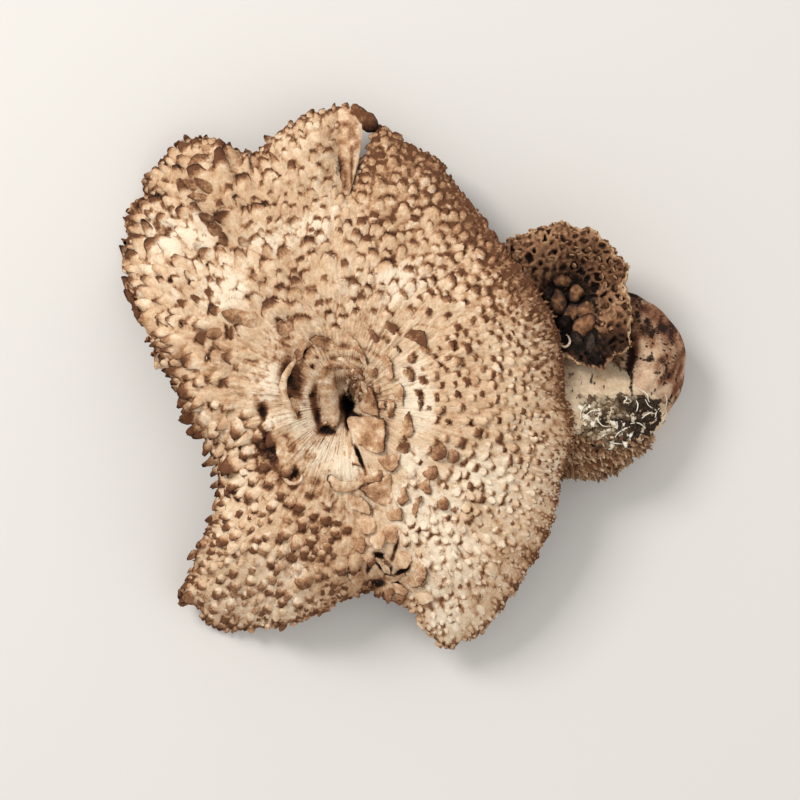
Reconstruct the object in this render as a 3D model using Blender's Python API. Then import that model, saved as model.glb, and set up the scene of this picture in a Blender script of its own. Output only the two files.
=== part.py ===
# Dried scaly hedgehog mushroom: a broad scaly cap on a stout stem, a small funnel-shaped
# mushroom grown from the same base, and the soil that dried onto that base.
# Metres, +Z up. The origin is on the surface that the mushroom lies on, straight below the
# middle of the large cap. X runs towards the stem's base and Y towards the split lobe.

import math

import bpy
import numpy as np
from mathutils import Vector, geometry

MM = 0.001
GAP = 0.0004  # left between two pieces that touch
FLOOR = 0.0  # what would hang lower is flattened onto this height

# Edge of the large cap seen from above, anticlockwise from the stem's side.
LARGE_CAP_EDGE = [
    (0.0795, -0.0020), (0.0765, 0.0020), (0.0762, 0.0116), (0.0750, 0.0217), (0.0720, 0.0320),
    (0.0675, 0.0389), (0.0581, 0.0509), (0.0496, 0.0645), (0.0403, 0.0753), (0.0332, 0.0866),
    (0.0224, 0.0924), (0.0118, 0.0991), (0.0085, 0.0925), (0.0062, 0.0862), (0.0036, 0.0802),
    (0.0018, 0.0749), (0.0016, 0.0790), (0.0030, 0.0838), (0.0052, 0.0902), (0.0054, 0.0970),
    (0.0050, 0.1035), (0.0007, 0.1062), (-0.0055, 0.1058), (-0.0172, 0.1009), (-0.0260, 0.0945),
    (-0.0336, 0.0888), (-0.0390, 0.0910), (-0.0464, 0.0942), (-0.0557, 0.0956), (-0.0630, 0.0910),
    (-0.0707, 0.0823), (-0.0735, 0.0795), (-0.0715, 0.0752), (-0.0770, 0.0735), (-0.0796, 0.0637),
    (-0.0796, 0.0530), (-0.0780, 0.0440), (-0.0728, 0.0316), (-0.0658, 0.0166), (-0.0578, 0.0046),
    (-0.0503, -0.0086), (-0.0456, -0.0200), (-0.0439, -0.0294), (-0.0462, -0.0380), (-0.0516, -0.0488),
    (-0.0553, -0.0609), (-0.0600, -0.0655), (-0.0590, -0.0703), (-0.0536, -0.0729), (-0.0516, -0.0790),
    (-0.0440, -0.0814), (-0.0290, -0.0795), (-0.0190, -0.0775), (-0.0080, -0.0725), (0.0020, -0.0676),
    (0.0080, -0.0656), (0.0133, -0.0683), (0.0200, -0.0700), (0.0250, -0.0735), (0.0279, -0.0790),
    (0.0335, -0.0855), (0.0375, -0.0876), (0.0403, -0.0848), (0.0460, -0.0825), (0.0530, -0.0745),
    (0.0600, -0.0652), (0.0685, -0.0518), (0.0735, -0.0399), (0.0757, -0.0250), (0.0803, -0.0120),
]

# The large cap's top surface: a low dome with these hollows and swells laid over it.
DOME_HEIGHT = 0.0430
DOME_FALL = 0.0165  # how far the dome has come down at DOME_RADIUS from its middle
DOME_RADIUS = 0.0900
DOME_WAVES = [  # x, y, reach, height
    (0.000, 0.000, 0.0120, -0.0100),
    (0.000, 0.000, 0.0300, -0.0070),
    (0.050, 0.000, 0.0380, 0.0075),
    (0.064, 0.040, 0.0260, 0.0105),
    (-0.085, 0.060, 0.0300, -0.0190),
    (-0.050, 0.074, 0.0110, 0.0040),
    (-0.062, 0.044, 0.0100, 0.0030),
    (-0.044, 0.052, 0.0090, -0.0025),
    (-0.033, 0.086, 0.0080, -0.0040),
    (-0.010, 0.096, 0.0120, 0.0040),
    (-0.045, -0.088, 0.0300, -0.0180),
    (-0.062, -0.062, 0.0120, -0.0030),
    (-0.048, -0.022, 0.0160, -0.0080),
    (-0.026, -0.050, 0.0120, 0.0040),
    (0.010, -0.066, 0.0120, -0.0100),
    (0.004, -0.040, 0.0090, -0.0040),
    (0.036, -0.090, 0.0180, -0.0070),
    (0.042, -0.052, 0.0140, 0.0030),
]
EDGE_DROOP = 0.0060
EDGE_DROOP_WIDTH = 0.0130
FLESH_AT_EDGE = 0.0022
FLESH_IN_CAP = 0.0048
FLESH_AT_STEM = 0.0150  # more, where the cap thickens into the stem
STEM_MEETS_CAP_REACH = 0.0150

# Scales: the spacing is a little larger than life, and closer towards the edge.
SCALE_SPACING_AT_MIDDLE = 0.0098
SCALE_SPACING_AT_EDGE = 0.0072
SCALE_FREE_MIDDLE = 0.0085
SCALE_FROM_EDGE = 0.62  # of the spacing, between a scale's middle and the edge
SCALE_LENGTH = 0.84  # of the spacing
SCALE_WIDTH = 0.78
SCALE_RISE = 0.0021
SCALE_OVERHANG = 0.0014
RAISED_SCALE_RISE = 0.0034  # on the side that faces away from the stem
RAISED_SCALE_OVERHANG = 0.0028
RAISED_SIDE_REACH = 0.0600  # from the middle to where the scales stand highest

OUTLINE_STEP = 0.0062  # longest side of the large cap's outline
EDGE_ROW_DEPTH = 0.0022  # a row of points just inside it keeps the rim's droop

# Every second point of the edge stands out as the tip of a scale, but not inside the split.
FRINGE = 0.0007
RAISED_FRINGE = 0.0021
SPLIT_BOX = ((0.0003, 0.0125), (0.0700, 0.1050))  # x and y that hold the split

# Teeth under the cap.
TOOTH_SPACING = 0.0078
TOOTH_LENGTH = 0.0042
TOOTH_RADIUS = 0.0014
TOOTH_FREE_MIDDLE = 0.0230
TOOTH_FROM_EDGE = 0.0050

# Round rows of plain points in the middle of the cap, where there are no scales or teeth.
MIDDLE_TOP_RINGS = (0.0045,)
MIDDLE_TOP_STEP = 0.0045
MIDDLE_UNDER_RINGS = (0.0060, 0.0120, 0.0180)
MIDDLE_UNDER_STEP = 0.0065

# The pit in the middle of the large cap.
PIT_PLACE = (0.0010, -0.0010, 0.0295)
PIT_RADII = (0.0024, 0.0042, 0.0095)

# Stems, as x, y, height of the middle, half width and half height.
LARGE_STEM = [
    (-0.0120, 0.0010, 0.0120, 0.0135, 0.0132),
    (0.0060, 0.0010, 0.0122, 0.0172, 0.0136),
    (0.0280, -0.0008, 0.0114, 0.0140, 0.0126),
    (0.0500, -0.0025, 0.0120, 0.0160, 0.0130),
    (0.0700, -0.0028, 0.0130, 0.0218, 0.0140),
    (0.0860, -0.0020, 0.0132, 0.0242, 0.0142),
    (0.0980, -0.0035, 0.0130, 0.0215, 0.0132),
]
SMALL_STEM = [
    (0.1045, 0.0030, 0.0118, 0.0108, 0.0122),
    (0.1070, 0.0110, 0.0126, 0.0122, 0.0134),
    (0.1070, 0.0195, 0.0130, 0.0128, 0.0136),
    (0.1020, 0.0280, 0.0122, 0.0122, 0.0126),
    (0.0925, 0.0330, 0.0100, 0.0110, 0.0100),
    (0.0830, 0.0360, 0.0072, 0.0095, 0.0070),
    (0.0775, 0.0370, 0.0058, 0.0080, 0.0054),
]
STEM_SIDES = 18
STEM_STATION = 0.0050  # distance along a stem between two of its rings
STEM_RUMPLE = 0.0010
STEM_END_RINGS = ((0.36, 0.84), (0.62, 0.55))  # how far past its end, and how large, in half widths
STEM_END_TIP = 0.74

# The small cap: a funnel, as distance from its middle and height of its top surface.
SMALL_CAP_MIDDLE = (0.0765, 0.0370)
SMALL_CAP_EDGE_ANGLES = (-88, -61, -40, -24, 7, 21, 48, 82, 112, 140, 175, 215, 250)
SMALL_CAP_EDGE_RADII = (
    0.0200, 0.0275, 0.0285, 0.0272, 0.0222, 0.0250, 0.0258, 0.0268, 0.0272, 0.0280, 0.0262, 0.0230, 0.0200,
)
FUNNEL_RADII = (0.0, 0.0045, 0.0080, 0.0115, 0.0170, 0.0220, 0.0270, 0.0300)
FUNNEL_HEIGHTS = (0.0142, 0.0148, 0.0172, 0.0235, 0.0290, 0.0310, 0.0285, 0.0255)
FUNNEL_TILT = 0.13  # rise towards the stem's side, for each metre across
SMALL_CAP_FLESH = 0.0030
SMALL_CAP_FLESH_AT_STEM = 0.0060
SMALL_SCALE_SPACING = 0.0058
SMALL_SCALE_RISE = 0.0012
SMALL_SCALE_OVERHANG = 0.0006
SMALL_TOOTH_SPACING = 0.0082
SMALL_TOOTH_FREE_MIDDLE = 0.0175
SMALL_CAP_REACH = 0.0300
SMALL_CAP_EDGE_STEP = 9  # degrees
SMALL_SCALE_FREE_MIDDLE = 0.0050
SMALL_TOP_RINGS = (0.0035,)
SMALL_TOP_STEP = 0.0035
SMALL_UNDER_RINGS = (0.0040, 0.0080, 0.0115, 0.0170)
SMALL_UNDER_STEP = 0.0048

# Soil dried onto the base, over both stems.
SOIL_MIDDLE = (0.0965, -0.0035, 0.0205)
SOIL_RADII = (0.0180, 0.0125, 0.0088)
SOIL_TURN = math.radians(-12)
SOIL_LUMPS = 0.0015


def clear_scene():
    for found in list(bpy.data.objects):
        bpy.data.objects.remove(found, do_unlink=True)


def make_material(name, colour, roughness):
    material = bpy.data.materials.new(name)
    material.use_nodes = True
    shader = material.node_tree.nodes["Principled BSDF"]
    shader.inputs["Base Color"].default_value = (*colour, 1.0)
    shader.inputs["Roughness"].default_value = roughness
    shader.inputs["Metallic"].default_value = 0.0
    return material


def make_object(name, points, faces, material=None):
    mesh = bpy.data.meshes.new(name)
    mesh.from_pydata([tuple(p) for p in points], [], [tuple(f) for f in faces])
    mesh.update()
    made = bpy.data.objects.new(name, mesh)
    bpy.context.scene.collection.objects.link(made)
    if material:
        mesh.materials.append(material)
    return made


def combine(target, other, operation):
    """Joins other to target, or cuts it away, and removes it."""
    other.display_type = "WIRE"
    other.hide_render = True
    modifier = target.modifiers.new(operation.lower(), "BOOLEAN")
    modifier.operation = operation
    modifier.solver = "EXACT"
    modifier.object = other
    bpy.context.view_layer.update()
    graph = bpy.context.evaluated_depsgraph_get()
    joined = bpy.data.meshes.new_from_object(target.evaluated_get(graph))
    target.modifiers.clear()
    target.data = joined
    bpy.data.objects.remove(other, do_unlink=True)


# Plane outlines

def subdivided(outline, longest):
    """The outline's points, with more along each side that is longer than that."""
    points = []
    for start, end in zip(outline, outline[1:] + outline[:1]):
        start, end = np.array(start), np.array(end)
        pieces = max(1, math.ceil(np.linalg.norm(end - start) / longest))
        points += [start + (end - start) * k / pieces for k in range(pieces)]
    return np.array(points)


def nearest_on(outline, points):
    """For each point, its distance from the closed outline and the nearest place on it."""
    start = outline[None, :, :]
    along = np.roll(outline, -1, axis=0)[None, :, :] - start
    share = ((points[:, None, :] - start) * along).sum(2) / (along**2).sum(2)
    foot = start + np.clip(share, 0, 1)[:, :, None] * along
    distance = np.linalg.norm(points[:, None, :] - foot, axis=2)
    best = distance.argmin(1)
    rows = np.arange(len(points))
    return distance[rows, best], foot[rows, best]


def inside(outline, points):
    """True for each point that the closed outline holds."""
    a = outline[None, :, :]
    b = np.roll(outline, -1, axis=0)[None, :, :]
    p = points[:, None, :]
    crosses = (a[..., 1] > p[..., 1]) != (b[..., 1] > p[..., 1])
    rise = np.where(crosses, b[..., 1] - a[..., 1], 1.0)
    x = a[..., 0] + (p[..., 1] - a[..., 1]) * (b[..., 0] - a[..., 0]) / rise
    return (crosses & (p[..., 0] < x)).sum(1) % 2 == 1


def spiral_scatter(reach, spacing):
    """Even points on a golden-angle spiral. spacing(radius) is the distance between neighbours."""
    turn = math.pi * (3 - math.sqrt(5))
    points, radius, count = [], 0.0, 0
    while radius < reach:
        cell = 0.866 * spacing(radius) ** 2
        radius = math.sqrt(radius**2 + cell / math.pi)
        points.append((radius * math.cos(count * turn), radius * math.sin(count * turn)))
        count += 1
    return np.array(points)


# Curved sheets with scales on top and teeth below

def normals_of(surface, points):
    """Upward normals of the surface that lifts plane points."""
    step = 0.0004
    east = surface(points + [step, 0.0]) - surface(points - [step, 0.0])
    north = surface(points + [0.0, step]) - surface(points - [0.0, step])
    normal = np.cross(east, north)
    return normal / np.linalg.norm(normal, axis=1)[:, None]


def scale_feature(place, outwards, length, width, rise, overhang):
    """One scale: its plane points, how far each is raised and pushed outwards, and its crease lines."""
    across = np.array([-outwards[1], outwards[0]])
    layout = [  # along, across, raised
        (-0.50, 0.00, 0.0),
        (0.24, -0.36, 0.8),
        (0.42, 0.00, 1.0),
        (0.24, 0.36, 0.8),
        (0.34, -0.50, 0.0),
        (0.56, 0.00, 0.0),
        (0.34, 0.50, 0.0),
    ]
    points = [place + u * length * outwards + v * width * across for u, v, _ in layout]
    lifts = [(share * rise, share * overhang * outwards) for _, _, share in layout]
    creases = [(0, 1), (1, 2), (2, 3), (3, 0), (4, 5), (5, 6)]
    return points, lifts, creases


def tooth_feature(place, outwards, radius, length):
    """One tooth: a slim cone of three sides, pointing down."""
    angles = [math.atan2(outwards[1], outwards[0]) + k * math.tau / 3 for k in range(3)]
    ring = [place + radius * np.array([math.cos(a), math.sin(a)]) for a in angles]
    still = np.zeros(2)
    lifts = [(0.0, still)] * 3 + [(length, still)]
    return ring + [place], lifts, [(0, 1), (1, 2), (2, 0), (0, 3), (1, 3), (2, 3)]


def triangulated(outline, fringe, rows, features):
    """Triangles inside the outline, through plain points and features, with fringe as each outline point's push.
    Returns plane points, what each is raised and pushed by, the faces, and where each outline point is."""
    points = [tuple(p / MM) for p in outline]
    lifts = [(0.4 * np.linalg.norm(push), push) for push in fringe]
    edges = []
    for p in rows:
        points.append(tuple(p / MM))
        lifts.append((0.0, np.zeros(2)))
    for places, raised, creases in features:
        first = len(points)
        points += [tuple(p / MM) for p in places]
        lifts += raised
        edges += [(first + a, first + b) for a, b in creases]
    found, _, faces, origins, _, _ = geometry.delaunay_2d_cdt(
        [Vector(p) for p in points], edges, [list(range(len(outline)))], 1, 1e-4
    )
    plane = np.array([tuple(p) for p in found]) * MM
    rise = np.array([lifts[o[0]][0] if o else 0.0 for o in origins])
    push = np.array([lifts[o[0]][1] if o else np.zeros(2) for o in origins])
    place_of = {source: k for k, o in enumerate(origins) for source in o}
    edge = [place_of[k] for k in range(len(outline))]
    return plane, rise, push, [tuple(f) for f in faces], edge


def scaly_cap(name, outline, fringe, surface, flesh_at, rows, scales, teeth, under_rows, material):
    """A closed sheet of flesh: the top holds the scales, the underside the teeth, and a wall joins them."""
    plane, rise, push, faces, edge = triangulated(outline, fringe, rows, scales)
    top = surface(plane) + normals_of(surface, plane) * rise[:, None]
    top[:, :2] += push
    under_plane, drop, _, under_faces, under_edge = triangulated(outline, 0 * fringe, under_rows, teeth)
    depth = flesh_at(under_plane) + drop
    under = surface(under_plane) - normals_of(surface, under_plane) * depth[:, None]
    top[:, 2] = np.maximum(top[:, 2], FLOOR + 0.6 * FLESH_AT_EDGE)
    under[:, 2] = np.maximum(under[:, 2], FLOOR)
    shift = len(top)
    faces += [tuple(shift + k for k in reversed(f)) for f in under_faces]
    for k in range(len(edge)):
        a, b = edge[k], edge[(k + 1) % len(edge)]
        c, d = shift + under_edge[k], shift + under_edge[(k + 1) % len(edge)]
        faces += [(a, c, d), (a, d, b)]
    return make_object(name, np.vstack([top, under]), faces, material)


def edge_row(outline, depth):
    """A row of points that runs inside the outline at that depth."""
    ahead = np.roll(outline, -1, axis=0) - np.roll(outline, 1, axis=0)
    ahead /= np.linalg.norm(ahead, axis=1)[:, None]
    row = outline + depth * np.stack([-ahead[:, 1], ahead[:, 0]], axis=1)
    distance, _ = nearest_on(outline, row)
    return row[(distance > 0.85 * depth) & inside(outline, row)]


# The large mushroom

def large_cap_surface(plane):
    """Top of the large cap's flesh: the dome, its waves, and the droop along its edge."""
    x, y = plane[:, 0], plane[:, 1]
    z = DOME_HEIGHT - DOME_FALL * (x**2 + y**2) / DOME_RADIUS**2
    for wave_x, wave_y, reach, height in DOME_WAVES:
        z = z + height * np.exp(-((x - wave_x) ** 2 + (y - wave_y) ** 2) / reach**2)
    distance, _ = nearest_on(np.array(LARGE_CAP_EDGE), plane)
    z = z - EDGE_DROOP * np.clip(1 - distance / EDGE_DROOP_WIDTH, 0, 1) ** 2
    return np.stack([x, y, z], axis=1)


def large_cap_flesh(plane):
    distance, _ = nearest_on(np.array(LARGE_CAP_EDGE), plane)
    share = np.clip(distance / EDGE_DROOP_WIDTH, 0, 1)
    near_stem = np.exp(-(plane**2).sum(1) / STEM_MEETS_CAP_REACH**2)
    return FLESH_AT_EDGE + (FLESH_IN_CAP - FLESH_AT_EDGE) * share + FLESH_AT_STEM * near_stem


def raised_side(points):
    """From 0 towards the stem's base to 1 on the side that faces away from it, where the scales stand up."""
    return np.clip(-np.asarray(points)[..., 0] / RAISED_SIDE_REACH, 0, 1)


def large_cap_fringe(outline):
    outwards = outline / np.linalg.norm(outline, axis=1)[:, None]
    depth = FRINGE + (RAISED_FRINGE - FRINGE) * raised_side(outline)
    depth[::2] = 0.0
    for axis, (low, high) in enumerate(SPLIT_BOX):
        near = (outline[:, axis] > low) & (outline[:, axis] < high)
        in_split = near if axis == 0 else in_split & near
    depth[in_split] = 0.0
    return depth[:, None] * outwards


def large_cap_scales(outline):
    reach = np.linalg.norm(outline, axis=1).max()

    def spacing(radius):
        share = min(1.0, radius / DOME_RADIUS)
        return SCALE_SPACING_AT_MIDDLE + (SCALE_SPACING_AT_EDGE - SCALE_SPACING_AT_MIDDLE) * share

    places = spiral_scatter(reach, spacing)
    distance, _ = nearest_on(outline, places)
    features = []
    for place, from_edge, held in zip(places, distance, inside(outline, places)):
        radius = np.linalg.norm(place)
        gap = spacing(radius)
        if not held or radius < SCALE_FREE_MIDDLE or from_edge < SCALE_FROM_EDGE * gap:
            continue
        outwards = place / radius
        raised = raised_side(place)
        rise = SCALE_RISE + (RAISED_SCALE_RISE - SCALE_RISE) * raised
        overhang = SCALE_OVERHANG + (RAISED_SCALE_OVERHANG - SCALE_OVERHANG) * raised
        size = gap / SCALE_SPACING_AT_MIDDLE
        features.append(
            scale_feature(
                place, outwards, SCALE_LENGTH * gap, SCALE_WIDTH * gap, rise * size, overhang * size
            )
        )
    return features


def teeth_under(outline, middle, spacing, free):
    reach = np.linalg.norm(outline - middle, axis=1).max()
    places = spiral_scatter(reach, lambda radius: spacing) + middle
    distance, _ = nearest_on(outline, places)
    features = []
    for place, from_edge, held in zip(places, distance, inside(outline, places)):
        out = place - middle
        radius = np.linalg.norm(out)
        if held and radius > free and from_edge > TOOTH_FROM_EDGE:
            features.append(tooth_feature(place, out / radius, TOOTH_RADIUS, TOOTH_LENGTH))
    return features


def rings_of_points(radii, spacing):
    """The middle and round rows about it, whose points are about one spacing apart along each row."""
    rows = [(0.0, 0.0)]
    for radius in radii:
        count = max(6, round(math.tau * radius / spacing))
        rows += [
            (radius * math.cos(k * math.tau / count), radius * math.sin(k * math.tau / count))
            for k in range(count)
        ]
    return np.array(rows)


def build_large_mushroom(material):
    outline = subdivided(LARGE_CAP_EDGE, OUTLINE_STEP)
    row = edge_row(outline, EDGE_ROW_DEPTH)
    top_rows = rings_of_points(MIDDLE_TOP_RINGS, MIDDLE_TOP_STEP)
    under_rows = rings_of_points(MIDDLE_UNDER_RINGS, MIDDLE_UNDER_STEP)
    cap = scaly_cap(
        "large_mushroom",
        outline,
        large_cap_fringe(outline),
        large_cap_surface,
        large_cap_flesh,
        np.vstack([row, top_rows]),
        large_cap_scales(outline),
        teeth_under(outline, np.zeros(2), TOOTH_SPACING, TOOTH_FREE_MIDDLE),
        np.vstack([row, under_rows]),
        material,
    )
    combine(cap, make_object("stem", *stem_shape(LARGE_STEM)), "UNION")
    combine(cap, make_object("pit", *lumpy_ball(PIT_PLACE, PIT_RADII, 0.0, 0.0)), "DIFFERENCE")
    combine(cap, make_object("room", *stem_shape(SMALL_STEM, GAP)), "DIFFERENCE")
    return cap


# Stems and lumps

def along_path(stations, spacing):
    """Rows of a stem's table, read off a smooth curve through them."""
    table = np.array(stations)
    length = np.r_[0, np.cumsum(np.linalg.norm(np.diff(table[:, :3], axis=0), axis=1))]
    count = max(3, round(length[-1] / spacing))
    at = np.linspace(0, length[-1], count + 1)
    linear = np.stack([np.interp(at, length, column) for column in table.T], axis=1)
    smooth = linear.copy()
    smooth[1:-1] = (linear[:-2] + 2 * linear[1:-1] + linear[2:]) / 4
    return smooth


def stem_shape(stations, grow=0.0):
    """A stout stem of oval section with rounded ends, flattened where it lies on the floor."""
    rows = along_path(stations, STEM_STATION)
    centre, half = rows[:, :3], rows[:, 3:] + grow
    ahead = np.gradient(centre, axis=0)
    ahead[:, 2] = 0
    ahead /= np.linalg.norm(ahead, axis=1)[:, None]
    rings = list(zip(centre, half, ahead))
    for past, size in STEM_END_RINGS:
        rings.insert(0, (centre[0] - past * half[0, 0] * ahead[0], size * half[0], ahead[0]))
        rings.append((centre[-1] + past * half[-1, 0] * ahead[-1], size * half[-1], ahead[-1]))
    tips = [
        centre[0] - STEM_END_TIP * half[0, 0] * ahead[0],
        centre[-1] + STEM_END_TIP * half[-1, 0] * ahead[-1],
    ]
    points = np.vstack([*(oval_ring(*row) for row in rings), *tips])
    points += rumple(points, STEM_RUMPLE)
    points[:, 2] = np.maximum(points[:, 2], FLOOR)
    return points, tube_faces(len(rings), STEM_SIDES)


def oval_ring(centre, half, ahead):
    angles = np.arange(STEM_SIDES) * math.tau / STEM_SIDES
    side = np.array([-ahead[1], ahead[0], 0.0])
    up = np.array([0.0, 0.0, 1.0])
    return centre + half[0] * np.cos(angles)[:, None] * side + half[1] * np.sin(angles)[:, None] * up


def rumple(points, depth):
    """Shallow wrinkles from three crossed waves."""
    x, y, z = points.T
    wave = np.sin(x * 310 + 1.3) * np.sin(y * 420 + z * 260) + 0.5 * np.sin(z * 610 + x * 180)
    return depth * wave[:, None] * np.array([0.3, 0.8, 0.7])


def tube_faces(rings, sides):
    """Faces of rings joined one to the next, with a fan at each end. The two end points come last."""
    faces = []
    for k in range(rings - 1):
        for j in range(sides):
            a, b = k * sides + j, k * sides + (j + 1) % sides
            faces += [(a, b, b + sides), (a, b + sides, a + sides)]
    first, last = rings * sides, rings * sides + 1
    faces += [(first, (j + 1) % sides, j) for j in range(sides)]
    end = (rings - 1) * sides
    faces += [(last, end + j, end + (j + 1) % sides) for j in range(sides)]
    return faces


def lumpy_ball(centre, radii, turn, lumps):
    """An oval lump whose surface swells and dips."""
    rings, sides = 7, 18
    heights = np.cos(np.linspace(0, math.pi, rings + 2)[1:-1])
    points = []
    for height in heights[::-1]:
        across = math.sqrt(1 - height**2)
        angles = np.arange(sides) * math.tau / sides
        points.append(
            np.stack([across * np.cos(angles), across * np.sin(angles), np.full(sides, height)], axis=1)
        )
    points = np.vstack([*points, [(0, 0, -1)], [(0, 0, 1)]])
    wave = np.sin(points[:, 0] * 5 + 1) * np.sin(points[:, 1] * 6 + 2 + points[:, 2] * 3)
    points = points * (np.array(radii) + lumps * wave[:, None])
    cos, sin = math.cos(turn), math.sin(turn)
    points = points @ np.array([[cos, sin, 0], [-sin, cos, 0], [0, 0, 1]])
    return points + np.array(centre), tube_faces(rings, sides)


# The small mushroom

def small_cap_edge():
    angles = np.radians(np.arange(0, 360, SMALL_CAP_EDGE_STEP))
    known = np.radians(SMALL_CAP_EDGE_ANGLES)
    radii = np.interp(angles, known, SMALL_CAP_EDGE_RADII, period=math.tau)
    rim = np.stack([radii * np.cos(angles), radii * np.sin(angles)], axis=1)
    return rim + SMALL_CAP_MIDDLE


def small_cap_surface(plane):
    """Top of the small cap's flesh: the funnel's profile turned round its middle, and tilted."""
    away = plane - SMALL_CAP_MIDDLE
    radius = np.linalg.norm(away, axis=1)
    z = np.interp(radius, FUNNEL_RADII, FUNNEL_HEIGHTS) + FUNNEL_TILT * away[:, 0]
    return np.stack([plane[:, 0], plane[:, 1], z], axis=1)


def small_cap_flesh(plane):
    radius = np.linalg.norm(plane - SMALL_CAP_MIDDLE, axis=1)
    near_stem = np.clip(1 - radius / 0.012, 0, 1)
    return SMALL_CAP_FLESH + (SMALL_CAP_FLESH_AT_STEM - SMALL_CAP_FLESH) * near_stem


def small_cap_scales(outline, middle):
    spacing = SMALL_SCALE_SPACING
    places = spiral_scatter(SMALL_CAP_REACH, lambda radius: spacing)
    distance, _ = nearest_on(outline, places + middle)
    features = []
    for place, from_edge, held in zip(places, distance, inside(outline, places + middle)):
        radius = np.linalg.norm(place)
        if not held or radius < SMALL_SCALE_FREE_MIDDLE or from_edge < SCALE_FROM_EDGE * spacing:
            continue
        features.append(
            scale_feature(
                place + middle,
                place / radius,
                SCALE_LENGTH * spacing,
                SCALE_WIDTH * spacing,
                SMALL_SCALE_RISE,
                SMALL_SCALE_OVERHANG,
            )
        )
    return features


def build_small_mushroom(material):
    outline = small_cap_edge()
    middle = np.array(SMALL_CAP_MIDDLE)
    cap = scaly_cap(
        "small_mushroom",
        outline,
        np.zeros_like(outline),
        small_cap_surface,
        small_cap_flesh,
        rings_of_points(SMALL_TOP_RINGS, SMALL_TOP_STEP) + middle,
        small_cap_scales(outline, middle),
        teeth_under(outline, middle, SMALL_TOOTH_SPACING, SMALL_TOOTH_FREE_MIDDLE),
        rings_of_points(SMALL_UNDER_RINGS, SMALL_UNDER_STEP) + middle,
        material,
    )
    combine(cap, make_object("stem", *stem_shape(SMALL_STEM)), "UNION")
    return cap


# Soil

def build_soil(material):
    soil = make_object("soil_crust", *lumpy_ball(SOIL_MIDDLE, SOIL_RADII, SOIL_TURN, SOIL_LUMPS), material)
    combine(soil, make_object("below", *stem_shape(LARGE_STEM, GAP)), "DIFFERENCE")
    combine(soil, make_object("beside", *stem_shape(SMALL_STEM, GAP)), "DIFFERENCE")
    return soil


def main():
    clear_scene()
    build_large_mushroom(make_material("cap_flesh", (0.55, 0.39, 0.26), 0.9))
    build_small_mushroom(make_material("small_cap_flesh", (0.27, 0.17, 0.11), 0.9))
    build_soil(make_material("soil", (0.12, 0.10, 0.08), 0.95))


main()
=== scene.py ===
import math

import bpy
import numpy as np
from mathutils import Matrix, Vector


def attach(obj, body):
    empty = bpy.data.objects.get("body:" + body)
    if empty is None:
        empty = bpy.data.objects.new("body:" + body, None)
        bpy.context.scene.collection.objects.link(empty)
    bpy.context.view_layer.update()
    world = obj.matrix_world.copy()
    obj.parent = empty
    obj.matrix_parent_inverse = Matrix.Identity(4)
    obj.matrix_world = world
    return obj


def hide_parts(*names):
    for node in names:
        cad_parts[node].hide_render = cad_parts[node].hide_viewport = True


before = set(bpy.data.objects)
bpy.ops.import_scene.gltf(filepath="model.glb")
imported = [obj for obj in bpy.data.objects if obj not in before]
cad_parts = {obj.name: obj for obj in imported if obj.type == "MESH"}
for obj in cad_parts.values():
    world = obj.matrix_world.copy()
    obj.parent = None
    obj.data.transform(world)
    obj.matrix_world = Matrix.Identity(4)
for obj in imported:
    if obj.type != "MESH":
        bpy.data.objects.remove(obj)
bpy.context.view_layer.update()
floorHeight = 0.0
clearance = 0.0002  # least height over the floor of what doesn't rest on it
millimetre = 0.001


# Small numpy helpers

def smooth(low, high, value):
    # 0 below low, 1 above high, and an S-shaped step between them
    share = np.clip((value - low) / (high - low), 0, 1)
    return share * share * (3 - 2 * share)


def mix(a, b, share):
    return a + (b - a) * share


def hashed(ix, iy, seed):
    # the same number from 0 to 1 each time for a lattice point
    value = np.sin(ix * 127.1 + iy * 311.7 + seed * 74.7) * 43758.5453
    return value - np.floor(value)


def bumps(x, y, size, seed=0):
    # value noise from -1 to 1, whose lumps are about size across
    x, y = x / size, y / size
    ix, iy = np.floor(x), np.floor(y)
    fx, fy = smooth(0, 1, x - ix), smooth(0, 1, y - iy)
    low = mix(hashed(ix, iy, seed), hashed(ix + 1, iy, seed), fx)
    high = mix(hashed(ix, iy + 1, seed), hashed(ix + 1, iy + 1, seed), fx)
    return 2 * mix(low, high, fy) - 1


def unit(vectors):
    return vectors / np.linalg.norm(vectors, axis=-1, keepdims=True)


def turnedBy(x, y, turn):
    # x and y turned round the origin by an angle in radians
    cos, sin = np.cos(turn), np.sin(turn)
    return x * cos - y * sin, x * sin + y * cos


def mound(x, y, cx, cy, reach):
    # 1 over the place (cx, cy), falling to 0 past its reach
    return np.exp(-((x - cx) ** 2 + (y - cy) ** 2) / reach**2)


def surfaceAt(height, x, y, step):
    # points on the surface that a function of x and y gives, and the upward normals there
    slopeX = (height(x + step, y) - height(x - step, y)) / (2 * step)
    slopeY = (height(x, y + step) - height(x, y - step)) / (2 * step)
    normal = unit(np.stack([-slopeX, -slopeY, np.ones_like(x)], axis=-1))
    return np.stack([x, y, height(x, y)], axis=-1), normal


def aboveFloor(points):
    points[..., 2] = np.maximum(points[..., 2], floorHeight + clearance)
    return points


def edgeDistance(edge, x, y):
    # distance of each point from a closed outline
    start, side = edge, np.roll(edge, -1, axis=0) - edge
    best = np.full(np.shape(x), 1e9)
    for (sx, sy), (dx, dy) in zip(start, side):
        share = np.clip(((x - sx) * dx + (y - sy) * dy) / (dx * dx + dy * dy), 0, 1)
        best = np.minimum(best, np.hypot(x - sx - share * dx, y - sy - share * dy))
    return best


def insideOf(edge, x, y):
    # whether each point lies inside a closed outline
    found = np.zeros(np.shape(x), bool)
    for (ax, ay), (bx, by) in zip(edge, np.roll(edge, -1, axis=0)):
        if ay != by:
            found ^= ((ay > y) != (by > y)) & (x < ax + (y - ay) * (bx - ax) / (by - ay))
    return found


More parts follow.
